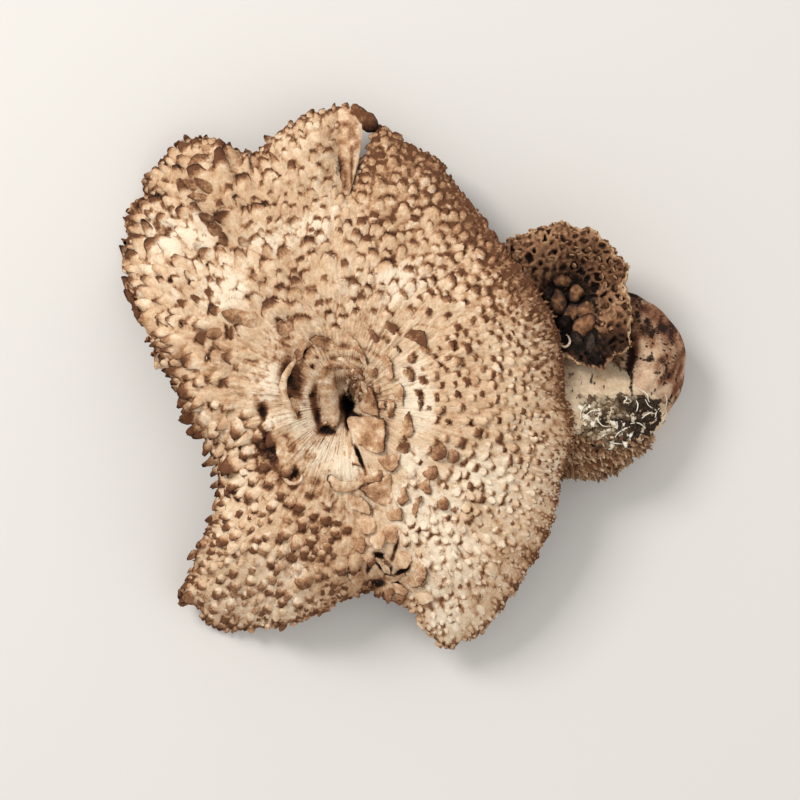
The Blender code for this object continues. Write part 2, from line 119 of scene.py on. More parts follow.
def resampled(edge, count):
    # points at even steps along a closed outline
    closed = np.vstack([edge, edge[:1]])
    length = np.r_[0, np.cumsum(np.hypot(*np.diff(closed, axis=0).T))]
    at = np.linspace(0, length[-1], count, endpoint=False)
    return np.stack([np.interp(at, length, closed[:, k]) for k in range(2)], axis=1)


# Pieces

def tones(brown, dark, shade, brownest=1.0):
    # the three attributes that the materials read, with one value for each point
    brown = np.clip(brown, 0, brownest)
    return {
        "brown": brown, "dark": np.clip(dark + 0 * brown, 0, 1), "shade": np.clip(shade + 0 * brown, 0, 1)
    }


def meshPiece(name, points, faces, material, node, attributes):
    # points holds one row for each point, or one block of rows for each copy of a form that has these faces
    # faces is a list of integer arrays, each with one row for each face
    mesh = bpy.data.meshes.new(name)
    if np.ndim(points) == 3:
        faces = repeatedFaces(faces, *points.shape[:2])
    points = np.asarray(points, np.float32).reshape(-1, 3)
    loops = np.concatenate([f.reshape(-1) for f in faces]).astype(np.int32)
    sizes = np.concatenate([np.full(len(f), f.shape[1]) for f in faces]).astype(np.int32)
    mesh.vertices.add(len(points))
    mesh.vertices.foreach_set("co", points.reshape(-1))
    mesh.loops.add(len(loops))
    mesh.loops.foreach_set("vertex_index", loops)
    mesh.polygons.add(len(sizes))
    mesh.polygons.foreach_set("loop_start", np.r_[0, np.cumsum(sizes)[:-1]].astype(np.int32))
    mesh.polygons.foreach_set("use_smooth", np.ones(len(sizes), bool))
    mesh.update(calc_edges=True)
    mesh.validate()
    for key, values in attributes.items():
        made = mesh.attributes.new(key, "FLOAT", "POINT")
        made.data.foreach_set("value", np.asarray(values, np.float32).reshape(-1))
    piece = bpy.data.objects.new(name, mesh)
    bpy.context.scene.collection.objects.link(piece)
    mesh.materials.append(material)
    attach(piece, "root")
    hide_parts(node)
    print(f"{name}: {int((sizes - 2).sum())} triangles")


def flipped(faces):
    # the same faces, facing the other way
    return [f[:, ::-1] for f in faces]


def tubeFaces(rings, sides):
    # faces of rings joined one to the next, closed by a fan on the point before and the point after them
    k, j = np.meshgrid(np.arange(rings - 1), np.arange(sides), indexing="ij")
    a, b = 1 + k * sides + j, 1 + k * sides + (j + 1) % sides
    quads = np.stack([a, b, b + sides, a + sides], axis=-1).reshape(-1, 4)
    j = np.arange(sides)
    end, last = 1 + (rings - 1) * sides, 1 + rings * sides
    first = np.stack([0 * j, 1 + (j + 1) % sides, 1 + j], axis=1)
    final = np.stack([0 * j + last, end + j, end + (j + 1) % sides], axis=1)
    return flipped([quads, np.vstack([first, final])])


def alongRings(values, sides):
    # one value for each ring, as one for each point of a tube and its two end points
    return np.r_[values[0], np.repeat(values, sides), values[-1]]


def closedSheet(middle, top, wall, under, lowest):
    # rings of points from the middle out over the top, round
    # the wall at the rim, and back in over the underside
    points = np.vstack([middle, top.reshape(-1, 3), wall, under.reshape(-1, 3), lowest])
    return points, tubeFaces(len(top) + 1 + len(under), top.shape[1])


def repeatedFaces(faces, count, size):
    # the same faces for count copies of a form that has size points
    shift = np.arange(count)[:, None, None] * size
    return [(f[None] + shift).reshape(-1, f.shape[1]) for f in faces]


def lumpForms(count, rows, sides):
    # unit balls as rings from pole to pole
    tall = np.linspace(0, math.pi, rows + 2)[1:-1, None]
    angle = np.arange(sides) * math.tau / sides
    ring = [np.sin(tall) * np.cos(angle), np.sin(tall) * np.sin(angle), -np.cos(tall) + 0 * angle]
    ball = np.vstack([[[0, 0, -1]], np.stack(ring, axis=-1).reshape(-1, 3), [[0, 0, 1]]])
    return np.repeat(ball[None], count, 0), tubeFaces(rows, sides)


def looseLumps(random, x, y, z, form):
    # uneven lumps about the given places, most of them small, each turned its own way and with its own tone
    count = len(x)
    balls, faces = lumpForms(count, form["rows"], form["sides"])
    size = form["least"] + (form["most"] - form["least"]) * random.random(count) ** 2
    shape = np.stack(
        [1 + form["longer"] * random.random(count), np.ones(count), np.full(count, form["flat"])], axis=1
    )
    uneven = form["uneven"] * (random.random((count, balls.shape[1], 1)) - 0.5)
    local = balls * (size[:, None] * shape)[:, None] * (1 + uneven)
    dx, dy = turnedBy(local[..., 0], local[..., 1], random.random(count)[:, None] * math.tau)
    points = np.stack([x[:, None] + dx, y[:, None] + dy, z[:, None] + local[..., 2]], axis=-1)
    return points, faces, np.repeat(random.random((count, 1)), balls.shape[1], 1)


# The camera, the light and the floor

look = {
    # the camera looks at aim from straight above, this far off
    "aim": (0.01925, 0.00175, 0.030), "distance": 0.90,
    "lens": 115.7, "sensor": 36, "nearest": 0.01, "furthest": 20,
    "lights": {  # watts, place, size, colour
        "key": (15.2, (-0.75, 0.75, 1.05), 0.55, (1.0, 0.965, 0.915)),
        "fill": (2.4, (0.9, -0.5, 1.0), 1.2, (1.0, 0.97, 0.93)),
    },
    "skyColour": (1.0, 0.975, 0.94), "skyStrength": 0.72,
    "floorColour": (0.682, 0.668, 0.650), "floorRoughness": 0.7, "floorReach": 6.0,
}


def areaLight(name, watts, place, size, colour):
    light = bpy.data.lights.new(name, "AREA")
    light.energy, light.size, light.color = watts, size, colour
    made = bpy.data.objects.new(name, light)
    made.location = place
    made.rotation_euler = (Vector(look["aim"]) - Vector(place)).to_track_quat("-Z", "Y").to_euler()
    bpy.context.scene.collection.objects.link(made)


def makeStudio():
    scene = bpy.context.scene
    camera = bpy.data.objects.new("camera", bpy.data.cameras.new("camera"))
    camera.data.lens, camera.data.sensor_width = look["lens"], look["sensor"]
    camera.data.clip_start, camera.data.clip_end = look["nearest"], look["furthest"]
    camera.location = Vector(look["aim"]) + Vector((0, 0, look["distance"]))
    scene.collection.objects.link(camera)
    scene.camera = camera
    for name, (watts, place, size, colour) in look["lights"].items():
        areaLight(name, watts, place, size, colour)
    world = bpy.data.worlds.new("studio")
    world.use_nodes = True
    sky = world.node_tree.nodes["Background"]
    sky.inputs["Color"].default_value = (*look["skyColour"], 1)
    sky.inputs["Strength"].default_value = look["skyStrength"]
    scene.world = world
    scene.view_settings.view_transform = "Standard"
    mesh = bpy.data.meshes.new("floor")
    far = look["floorReach"]
    mesh.from_pydata([(-far, -far, 0), (far, -far, 0), (far, far, 0), (-far, far, 0)], [], [(0, 1, 2, 3)])
    floor = bpy.data.objects.new("floor", mesh)
    scene.collection.objects.link(floor)
    paint = bpy.data.materials.new("floor")
    paint.use_nodes = True
    shader = paint.node_tree.nodes["Principled BSDF"]
    shader.inputs["Base Color"].default_value = (*look["floorColour"], 1)
    shader.inputs["Roughness"].default_value = look["floorRoughness"]
    mesh.materials.append(paint)


makeStudio()
print("studio done")


# Materials

class Socket:
    # one output of a node, on which sums read like plain maths
    def __init__(self, tree, output):
        self.tree, self.output = tree, output

    def node(self, kind, settings=None, outlet=0, **inputs):
        made = self.tree.nodes.new(kind)
        for key, value in (settings or {}).items():
            setattr(made, key, value)
        for key, value in inputs.items():
            name = key.replace("_", " ")
            inlet = made.inputs[int(key[1:])] if key[0] == "i" and key[1:].isdigit() else made.inputs[name]
            if isinstance(value, Socket):
                self.tree.links.new(value.output, inlet)
            else:
                inlet.default_value = value
        return Socket(self.tree, made.outputs[outlet])

    def maths(self, operation, other=None, third=None):
        given = {f"i{k}": v for k, v in enumerate((self, other, third)) if v is not None}
        return self.node("ShaderNodeMath", {"operation": operation}, **given)

    def __add__(self, other):
        return self.maths("ADD", other)

    def __radd__(self, other):
        return self.maths("ADD", other)

    def __sub__(self, other):
        return self.maths("SUBTRACT", other)

    def __rsub__(self, other):
        return (self * -1.0).maths("ADD", other)

    def __mul__(self, other):
        return self.maths("MULTIPLY", other)

    def __rmul__(self, other):
        return self.maths("MULTIPLY", other)

    def __truediv__(self, other):
        return self.maths("DIVIDE", other)

    def step(self, low, high):
        # 0 below low and 1 above high
        return self.node(
            "ShaderNodeMapRange", {"interpolation_type": "SMOOTHSTEP"}, i0=self, i1=low, i2=high, i3=0.0,
            i4=1.0
        )

    def blend(self, a, b):
        # from colour a to colour b as this goes from 0 to 1
        a, b = [c if isinstance(c, Socket) else (*c, 1.0) for c in (a, b)]
        return self.node("ShaderNodeMix", {"data_type": "RGBA"}, outlet=2, i0=self, i6=a, i7=b)

    def noise(self, scale, detail=3.0, roughness=0.55):
        return self.node("ShaderNodeTexNoise", i0=self, i2=scale, i3=detail, i4=roughness)

    def parts(self):
        made = self.tree.nodes.new("ShaderNodeSeparateXYZ")
        self.tree.links.new(self.output, made.inputs[0])
        return [Socket(self.tree, made.outputs[k]) for k in range(3)]


def newMaterial(name):
    material = bpy.data.materials.new(name)
    material.use_nodes = True
    tree = material.node_tree
    coordinates = tree.nodes.new("ShaderNodeTexCoord")
    return material, Socket(tree, coordinates.outputs["Object"])


def attribute(place, name):
    return place.node("ShaderNodeAttribute", {"attribute_name": name}, outlet=2)


def joined(place, x, y, z):
    return place.node("ShaderNodeCombineXYZ", i0=x, i1=y, i2=z)


dryShine, dryRoughness = 0.25, 0.9  # of all the materials: dry and matt


def finishMaterial(material, place, colour, roughness, height, depth):
    # depth is the height of the bump in metres
    shader = material.node_tree.nodes["Principled BSDF"]
    links = material.node_tree.links
    links.new(colour.output, shader.inputs["Base Color"])
    shader.inputs["Roughness"].default_value = roughness
    shader.inputs["Specular IOR Level"].default_value = dryShine
    bump = place.node("ShaderNodeBump", Height=height, Distance=depth, Strength=1.0)
    links.new(bump.output, shader.inputs["Normal"])
    return material


def srgb(r, g, b):
    # a colour as a screen shows it, in the shader's linear numbers
    return tuple(((c + 0.055) / 1.055) ** 2.4 if c > 0.04 else c / 12.92 for c in (r, g, b))


capPaint = {
    "cream": srgb(0.985, 0.915, 0.815),
    "pale": srgb(0.88, 0.75, 0.61),
    "tan": srgb(0.72, 0.545, 0.40),
    "brown": srgb(0.43, 0.275, 0.18),
    "dark": srgb(0.12, 0.07, 0.05),
    "fibreDepth": 0.0014,
}


def fibres(place, across, along):
    # streaks that run outwards from the middle: noise on the
    # direction from the middle and, more slowly, on the distance
    x, y, z = place.parts()
    reach = (x * x + y * y).maths("SQRT") + 0.0005
    spot = joined(place, x / reach * across, y / reach * across, reach * along)
    return spot.noise(1.0, 4.0, 0.6)


def capMaterial(name, paint):
    # flesh from cream to tan by three sizes of noise, brown
    # by the attribute brown, dark by the attribute dark
    material, place = newMaterial(name)
    brown, dark, shade = (attribute(place, key) for key in ("brown", "dark", "shade"))
    broad = place.noise(38.0, 3.0)
    middle = place.noise(260.0, 4.0)
    fine = place.noise(1100.0, 4.0, 0.7)
    grain = place.noise(2600.0, 2.0, 0.6)
    streaks = fibres(place, 34.0, 150.0)
    tone = broad * 0.5 + middle * 0.8 + streaks * 1.2 + fine * 0.9 + shade * 1.0 - 1.78
    flesh = tone.step(-0.15, 0.55).blend(paint["cream"], paint["pale"])
    flesh = tone.step(0.40, 1.05).blend(flesh, paint["tan"])
    # the attributes brown and dark carry the flesh's own colour and, in places, painted shade; shade carries
    # a painted highlight on the small cap's net
    patchy = brown + ((middle - 0.5) * 0.9 + (fine - 0.5) * 1.1) * (brown * 0.8 + 0.32)
    colour = patchy.step(0.12, 0.60).blend(flesh, paint["tan"])
    colour = patchy.step(0.42, 0.92).blend(colour, paint["brown"])
    specks = ((fine - 0.5) * 0.9 + (grain - 0.5) * 0.5) * (dark + 0.45) + dark
    colour = specks.step(0.30, 0.90).blend(colour, paint["dark"])
    height = streaks * 0.45 + fine * 0.55 + middle * 0.55 + grain * 0.16
    return finishMaterial(material, place, colour, dryRoughness, height, paint["fibreDepth"])


fleshMaterial = capMaterial("capFlesh", capPaint)
scaleMaterial = capMaterial("capScales", {**capPaint, "fibreDepth": 0.0010})


# The large cap's surface: the same dome and waves as its solid, with finer relief

cap = {
    "height": 0.0430, "fall": 0.0165, "radius": 0.0900,
    "waves": [  # x, y, reach, height
        (0.000, 0.000, 0.0120, -0.0100), (0.000, 0.000, 0.0300, -0.0070), (0.050, 0.000, 0.0380, 0.0075),
        (0.064, 0.040, 0.0260, 0.0105), (-0.085, 0.060, 0.0300, -0.0190), (-0.050, 0.074, 0.0110, 0.0040),
        (-0.062, 0.044, 0.0100, 0.0030), (-0.044, 0.052, 0.0090, -0.0025), (-0.033, 0.086, 0.0080, -0.0040),
        (-0.010, 0.096, 0.0120, 0.0040), (-0.045, -0.088, 0.0300, -0.0180), (-0.062, -0.062, 0.0120, -0.0030),
        (-0.048, -0.022, 0.0160, -0.0080), (-0.026, -0.050, 0.0120, 0.0040), (0.010, -0.066, 0.0120, -0.0100),
        (0.004, -0.040, 0.0090, -0.0040), (0.036, -0.090, 0.0180, -0.0070), (0.042, -0.052, 0.0140, 0.0030),
    ],
    "droop": 0.0060, "droopWidth": 0.0130,
    "fleshAtEdge": 0.0022, "fleshInCap": 0.0048, "fleshAtStem": 0.0150, "stemReach": 0.0150,
    "slopeStep": 0.0005,
    "edge": [
        (0.0795, -0.0020), (0.0765, 0.0020), (0.0762, 0.0116), (0.0750, 0.0217), (0.0720, 0.0320),
        (0.0675, 0.0389), (0.0581, 0.0509), (0.0496, 0.0645), (0.0403, 0.0753), (0.0332, 0.0866),
        (0.0224, 0.0924), (0.0118, 0.0991), (0.0085, 0.0925), (0.0062, 0.0862), (0.0036, 0.0802),
        (0.0018, 0.0749), (0.0012, 0.0800), (0.0011, 0.0870), (0.0012, 0.0950), (0.0010, 0.1020),
        (0.0000, 0.1062), (-0.0055, 0.1058), (-0.0172, 0.1009), (-0.0260, 0.0945),
        (-0.0336, 0.0888), (-0.0390, 0.0910), (-0.0464, 0.0942), (-0.0557, 0.0956), (-0.0630, 0.0910),
        (-0.0707, 0.0823), (-0.0735, 0.0795), (-0.0715, 0.0752), (-0.0770, 0.0735), (-0.0796, 0.0637),
        (-0.0796, 0.0530), (-0.0780, 0.0440), (-0.0728, 0.0316), (-0.0658, 0.0166), (-0.0578, 0.0046),
        (-0.0503, -0.0086), (-0.0456, -0.0200), (-0.0439, -0.0294), (-0.0462, -0.0380), (-0.0516, -0.0488),
        (-0.0553, -0.0600), (-0.0595, -0.0655), (-0.0585, -0.0703), (-0.0536, -0.0729), (-0.0500, -0.0790),
        (-0.0440, -0.0814), (-0.0290, -0.0795), (-0.0190, -0.0775), (-0.0080, -0.0725), (0.0020, -0.0676),
        (0.0080, -0.0656), (0.0133, -0.0683), (0.0200, -0.0700), (0.0250, -0.0735), (0.0279, -0.0790),
        (0.0335, -0.0855), (0.0375, -0.0876), (0.0403, -0.0848), (0.0460, -0.0825), (0.0530, -0.0745),
        (0.0600, -0.0652), (0.0685, -0.0518), (0.0735, -0.0399), (0.0757, -0.0250), (0.0803, -0.0120),
    ],
    "pit": (0.0012, 0.0014, 0.0020, 0.0034, 0.0120),  # x, y, half width, half length, depth
    "bare": [  # x, y, half width, half length of the flesh with no scales
        (-0.0070, -0.0120, 0.0150, 0.0165), (-0.0190, 0.0070, 0.0120, 0.0125),
        (-0.0250, 0.0180, 0.0100, 0.0080),
        (0.0010, 0.0120, 0.0120, 0.0130), (0.0080, -0.0200, 0.0110, 0.0180), (0.0150, 0.0000, 0.0060, 0.0120),
    ],
    "hollows": [  # x, y, heading in degrees, half length, half width, depth, darkness painted in it as shade
        (-0.0182, 0.0088, 105, 0.0062, 0.0036, 0.0042, 0.50),
        (-0.0196, 0.0100, 110, 0.0036, 0.0014, 0.0010, 0.45),
        (-0.0177, -0.0002, 115, 0.0040, 0.0010, 0.0022, 1.00),
        (-0.0264, -0.0167, 100, 0.0060, 0.0034, 0.0034, 0.70),
        (-0.0206, -0.0122, 60, 0.0014, 0.0010, 0.0012, 1.00),
        (-0.0175, -0.0240, 80, 0.0024, 0.0018, 0.0018, 0.90),
        (-0.0068, -0.0086, 20, 0.0024, 0.0015, 0.0026, 1.00),
        (-0.0045, -0.0094, 10, 0.0016, 0.0009, 0.0014, 0.90),
        (-0.0135, 0.0179, 40, 0.0018, 0.0014, 0.0016, 0.85),
        (-0.0112, 0.0132, 120, 0.0009, 0.0007, 0.0008, 0.95),
        (-0.0117, 0.0034, 60, 0.0011, 0.0006, 0.0009, 0.95),
        (-0.0097, 0.0166, 0, 0.0006, 0.0005, 0.0005, 0.90),
        (0.0050, -0.0178, 113, 0.0050, 0.0009, 0.0020, 1.10),
        (0.0009, -0.0058, 95, 0.0034, 0.0010, 0.0034, 1.10),
        (0.0034, -0.0035, -25, 0.0028, 0.0009, 0.0022, 1.00),
        (-0.0284, -0.0024, 100, 0.0026, 0.0016, 0.0020, 0.80),
        (0.0127, -0.0526, -15, 0.0030, 0.0011, 0.0024, 1.05),
        (0.0125, -0.0564, -70, 0.0020, 0.0008, 0.0018, 1.05),
        (0.0201, -0.0579, 35, 0.0028, 0.0012, 0.0024, 1.05),
        (0.0108, -0.0630, 0, 0.0038, 0.0016, 0.0022, 0.95),
        (0.0178, -0.0625, -35, 0.0022, 0.0011, 0.0018, 1.05),
        (0.0082, -0.0570, 80, 0.0022, 0.0008, 0.0016, 0.95),
        (-0.0215, 0.0290, 140, 0.0030, 0.0020, 0.0018, 0.70),
        (-0.0096, -0.0042, 100, 0.0038, 0.0012, 0.0016, 0.60),
        (-0.0108, 0.0030, 84, 0.0040, 0.0009, 0.0008, 0.30),
        (0.0022, 0.0068, 120, 0.0030, 0.0016, 0.0016, 0.55),
        (0.0175, -0.0505, 75, 0.0040, 0.0008, 0.0012, 0.60),
        (0.0152, -0.0585, 60, 0.0024, 0.0009, 0.0014, 0.90),
    ],
    "swells": [  # x, y, reach, height of the raised flesh beside the hollows
        (-0.0252, 0.0062, 0.0056, 0.0030), (-0.0235, -0.0060, 0.0050, 0.0016),
        (-0.0120, -0.0185, 0.0060, 0.0010),
        (-0.0010, -0.0205, 0.0050, 0.0010), (-0.0170, -0.0150, 0.0030, 0.0012),
    ],
    "browns": [  # x, y, reach, strength of the browner flesh round the middle
        (-0.0130, -0.0180, 0.0036, 0.40), (-0.0190, -0.0150, 0.0036, 0.50), (-0.0085, -0.0108, 0.0028, 0.50),
        (-0.0262, -0.0160, 0.0060, 0.50), (-0.0200, 0.0200, 0.0070, 0.38), (0.0000, 0.0165, 0.0070, 0.34),
        (0.0090, 0.0150, 0.0060, 0.36), (-0.0290, 0.0020, 0.0040, 0.50), (-0.0160, 0.0090, 0.0040, 0.34),
        (0.0120, 0.0020, 0.0046, 0.34), (0.0130, -0.0060, 0.0040, 0.30), (-0.0090, -0.0280, 0.0060, 0.34),
        (-0.0210, -0.0270, 0.0060, 0.42), (0.0080, -0.0250, 0.0050, 0.32), (-0.0040, -0.0135, 0.0022, 0.34),
        (-0.0045, 0.0240, 0.0070, 0.26), (0.0120, 0.0250, 0.0060, 0.26), (-0.0330, 0.0150, 0.0060, 0.26),
    ],
    "spots": [  # x, y, reach of the palest flesh
        (-0.024, 0.058, 0.007), (0.019, 0.042, 0.007), (0.023, 0.004, 0.005), (0.027, 0.000, 0.004),
        (-0.050, 0.060, 0.006),
        (-0.0265, 0.0090, 0.0045), (0.0010, -0.0205, 0.0045), (-0.0130, -0.0050, 0.0045),
        (-0.0270, -0.0070, 0.0030),
        (0.0255, -0.0040, 0.0060), (0.0240, -0.0190, 0.0060), (0.0250, 0.0120, 0.0060),
        (0.0300, -0.0350, 0.0090),
        (0.0380, -0.0480, 0.0090), (0.0480, -0.0250, 0.0100), (0.0340, -0.0740, 0.0080),
        (-0.0150, -0.0040, 0.0040),
        (-0.0100, -0.0160, 0.0050), (-0.0640, 0.0600, 0.0070), (-0.0420, 0.0400, 0.0060),
        (-0.0120, 0.0620, 0.0060),
    ],
}
capEdge = np.array(cap["edge"])


def capSmoothHeight(x, y):
    # the dome, its waves, and the droop along its edge
    z = cap["height"] - cap["fall"] * (x**2 + y**2) / cap["radius"] ** 2
    for wx, wy, reach, height in cap["waves"]:
        z = z + height * mound(x, y, wx, wy, reach)
    depth = edgeDistance(capEdge, x, y)
    return z - cap["droop"] * np.clip(1 - depth / cap["droopWidth"], 0, 1) ** 2, depth


def ridge(x, y, cx, cy, radius, start, end, height, width):
    # a raised arc round (cx, cy), from one angle to another in degrees, that fades at both ends
    angle = np.degrees(np.arctan2(y - cy, x - cx))
    turn = (angle - start) % 360
    share = turn / (end - start)
    fade = smooth(0, 0.25, share) * (1 - smooth(0.75, 1, share)) * (share < 1)
    return height * fade * np.exp(-((np.hypot(x - cx, y - cy) - radius) / width) ** 2)


capRidges = [  # middle x, y, radius, first and last angle, height, width
    (0.0005, 0.0040, 0.0078, -20, 165, 0.0016, 0.0011),
    (0.002, -0.001, 0.0125, 15, 110, 0.0014, 0.0009),
    (0.001, -0.002, 0.0165, 20, 130, 0.0014, 0.0010),
    (0.000, -0.002, 0.0205, 35, 125, 0.0012, 0.0010),
    (0.000, -0.002, 0.0240, 40, 120, 0.0010, 0.0011),
    (-0.002, 0.002, 0.0175, 150, 215, 0.0008, 0.0014),
]


def hollowShare(x, y, cx, cy, heading, long, wide):
    # 1 in the middle of an oval hollow, falling to 0 outside it
    cos, sin = math.cos(math.radians(heading)), math.sin(math.radians(heading))
    u, v = (x - cx) * cos + (y - cy) * sin, (y - cy) * cos - (x - cx) * sin
    return np.exp(-(((u / long) ** 2 + (v / wide) ** 2) ** 1.4))


def capHeight(x, y):
    # the smooth form with lumps, raised arcs, hollows, swollen flesh beside them, and the hole
    z, depth = capSmoothHeight(x, y)
    away = smooth(0.0, 0.006, depth)
    z = z + away * 0.0007 * bumps(x, y, 0.0115, 3) + away * 0.00035 * bumps(x, y, 0.0047, 5)
    for arc in capRidges:
        z = z + ridge(x, y, *arc)
    for *place, deep, _ in cap["hollows"]:
        z = z - deep * hollowShare(x, y, *place)
    for sx, sy, reach, height in cap["swells"]:
        z = z + height * mound(x, y, sx, sy, reach)
    px, py, wide, long, deep = cap["pit"]
    return z - deep * np.exp(-(((x - px) / wide) ** 2 + ((y - py) / long) ** 2) ** 1.6)


def onCap(x, y):
    return surfaceAt(capHeight, x, y, cap["slopeStep"])


def fleshDepth(x, y, depth):
    # the thickness of the flesh: thin at the rim and thick over the stem
    stem = cap["fleshAtStem"] * np.exp(-(x**2 + y**2) / cap["stemReach"] ** 2)
    return mix(cap["fleshAtEdge"], cap["fleshInCap"], np.clip(depth / cap["droopWidth"], 0, 1)) + stem


def underHeight(x, y):
    z, depth = capSmoothHeight(x, y)
    return np.maximum(z - fleshDepth(x, y, depth), floorHeight)


def lowerLeft(x, y):
    # 1 on the lower left lobe, whose scales are flat brown ovals on pale flesh
    return smooth(-0.026, -0.042, y) * smooth(0.012, -0.005, x)


def lowerRight(x, y):
    # 1 on the lower right lobe, whose flesh is smoother and more fibrous
    return smooth(-0.028, -0.050, y) * smooth(0.014, 0.030, x)


def capBrown(x, y, depth):
    # how brown the cap is: along the rims, most of all from
    # the split round to the right, and down the valleys
    angle = np.degrees(np.arctan2(y, x))
    upperRight = smooth(8, 40, angle) * (1 - smooth(78, 90, angle))
    right = smooth(-25, 5, angle) * (1 - smooth(20, 60, angle))
    width = 0.0030 + 0.0120 * upperRight + 0.005 * right
    tip = np.exp(-(((x - 0.040) / 0.016) ** 2 + ((y + 0.080) / 0.014) ** 2))
    lobe = lowerRight(x, y)
    rim = np.exp(-((depth / width) ** 1.3)) * (
        0.42 + 0.36 * upperRight + 0.18 * right - 0.25 * tip - 0.12 * lobe * (1 - tip)
    )
    warm = lobe * (0.05 + 0.11 * smooth(0.026, 0.004, depth)) * (1 + 0.5 * bumps(x, y, 0.0045, 28))
    smudge = 0.16 * smooth(0.15, 0.75, bumps(x, y, 0.0034, 26)) * smooth(0.012, 0.030, np.hypot(x, y))
    valley = 0.35 * np.exp(-(((x + 0.003) / 0.012) ** 2 + ((y + 0.050) / 0.018) ** 2))
    pit = np.exp(-((x / 0.006) ** 2 + (y / 0.008) ** 2))
    hollow = sum(0.5 * hollowShare(x, y, cx, cy, heading, 1.4 * long, 1.4 * wide)
                 for cx, cy, heading, long, wide, _, _ in cap["hollows"])
    fibrous = 0.22 * np.exp(-(((x + 0.014) / 0.014) ** 2 + ((y - 0.002) / 0.018) ** 2))
    for bx, by, reach, strength in cap["browns"]:
        fibrous = fibrous + strength * mound(x, y, bx, by, reach) * (0.75 + 0.5 * bumps(x, y, 0.0022, 27))
    brown = rim + valley + hollow + fibrous + warm + smudge + 0.5 * pit + 0.02 - 0.12 * tip
    return np.clip(brown + 0.10 * bumps(x, y, 0.016, 11), 0, 1)


def capDark(x, y):
    # how dark it is: painted shade in the hole and the hollows, darker on the
    # strip beside the split, and in streaks round the middle
    px, py, wide, long, _ = cap["pit"]
    # painted shade: the hole is painted near black
    pit = np.exp(-(((x - px) / (wide * 1.25)) ** 2 + ((y - py) / (long * 1.2)) ** 2) ** 1.5)
    stain = np.exp(-(((x + 0.002) / 0.0022) ** 2 + ((y - 0.084) / 0.0055) ** 2))
    # painted shade in each hollow, as strong as its darkness
    hollow = sum(dark * hollowShare(x, y, *place) for *place, _, dark in cap["hollows"])
    reach = np.hypot(x, y) + 1e-6
    streak = bumps(x / reach * 0.030, y / reach * 0.030 + reach * 0.10, 0.0010, 18)
    fibrous = smooth(0.030, 0.016, reach) * smooth(0.3, 0.9, streak + 0.3 * bumps(x, y, 0.0060, 19))
    return np.clip(1.1 * pit + 0.75 * stain + hollow + 0.30 * fibrous, 0, 1)


def capShade(x, y):
    # lower is paler
    shade = 0.5 + 0.22 * bumps(x, y, 0.02, 21)
    for sx, sy, reach in cap["spots"]:
        shade = shade - 0.55 * mound(x, y, sx, sy, reach)
    return np.clip(shade, 0, 1)


# Scales: tongues that grow out of the flesh and lift towards their tips

def scatter(edge, spacing, seed, tries, gap=0.82):
    # points inside an outline, each further from the others than gap times the spacing there
    random = np.random.default_rng(seed)
    low, high = edge.min(0), edge.max(0)
    spots = low + (high - low) * random.random((tries, 2))
    spots = spots[insideOf(edge, spots[:, 0], spots[:, 1])]
    need = gap * spacing(spots[:, 0], spots[:, 1])
    chosen, needs, count = np.zeros((len(spots), 2)), np.zeros(len(spots)), 0
    for spot, wanted in zip(spots, need):
        away = np.hypot(chosen[:count, 0] - spot[0], chosen[:count, 1] - spot[1])
        if (away > 0.5 * (wanted + needs[:count])).all():
            chosen[count], needs[count] = spot, wanted
            count += 1
    return chosen[:count]


scaleForm = {
    # of its rings of points, from root to tip
    "stations": np.array([0.0, 0.16, 0.36, 0.56, 0.74, 0.89, 0.98]),
    # of a ring's points: five over the top and two below
    "angles": np.radians([0, 38, 90, 142, 180, 235, 305]),
    "uneven": 1.0, "free": (0.40, 0.88),  # from where to where its sides come free of the flesh
    "sideSunk": 0.0012, "crestSunk": 0.0013, "rootSunk": 0.0016,
}


def scaleProfile(along, point):
    # half the width of a scale, 1 at its widest, from its
    # root at 0 to its tip at 1: a pointed one narrows sooner
    past = np.clip((along - 0.30) / 0.72, 0, 1)
    narrowing = np.clip(1 - past ** (3.2 - 1.9 * point), 0, 1) ** (0.45 + 0.35 * point)
    return (0.78 + 0.22 * smooth(0, 0.35, along)) * narrowing


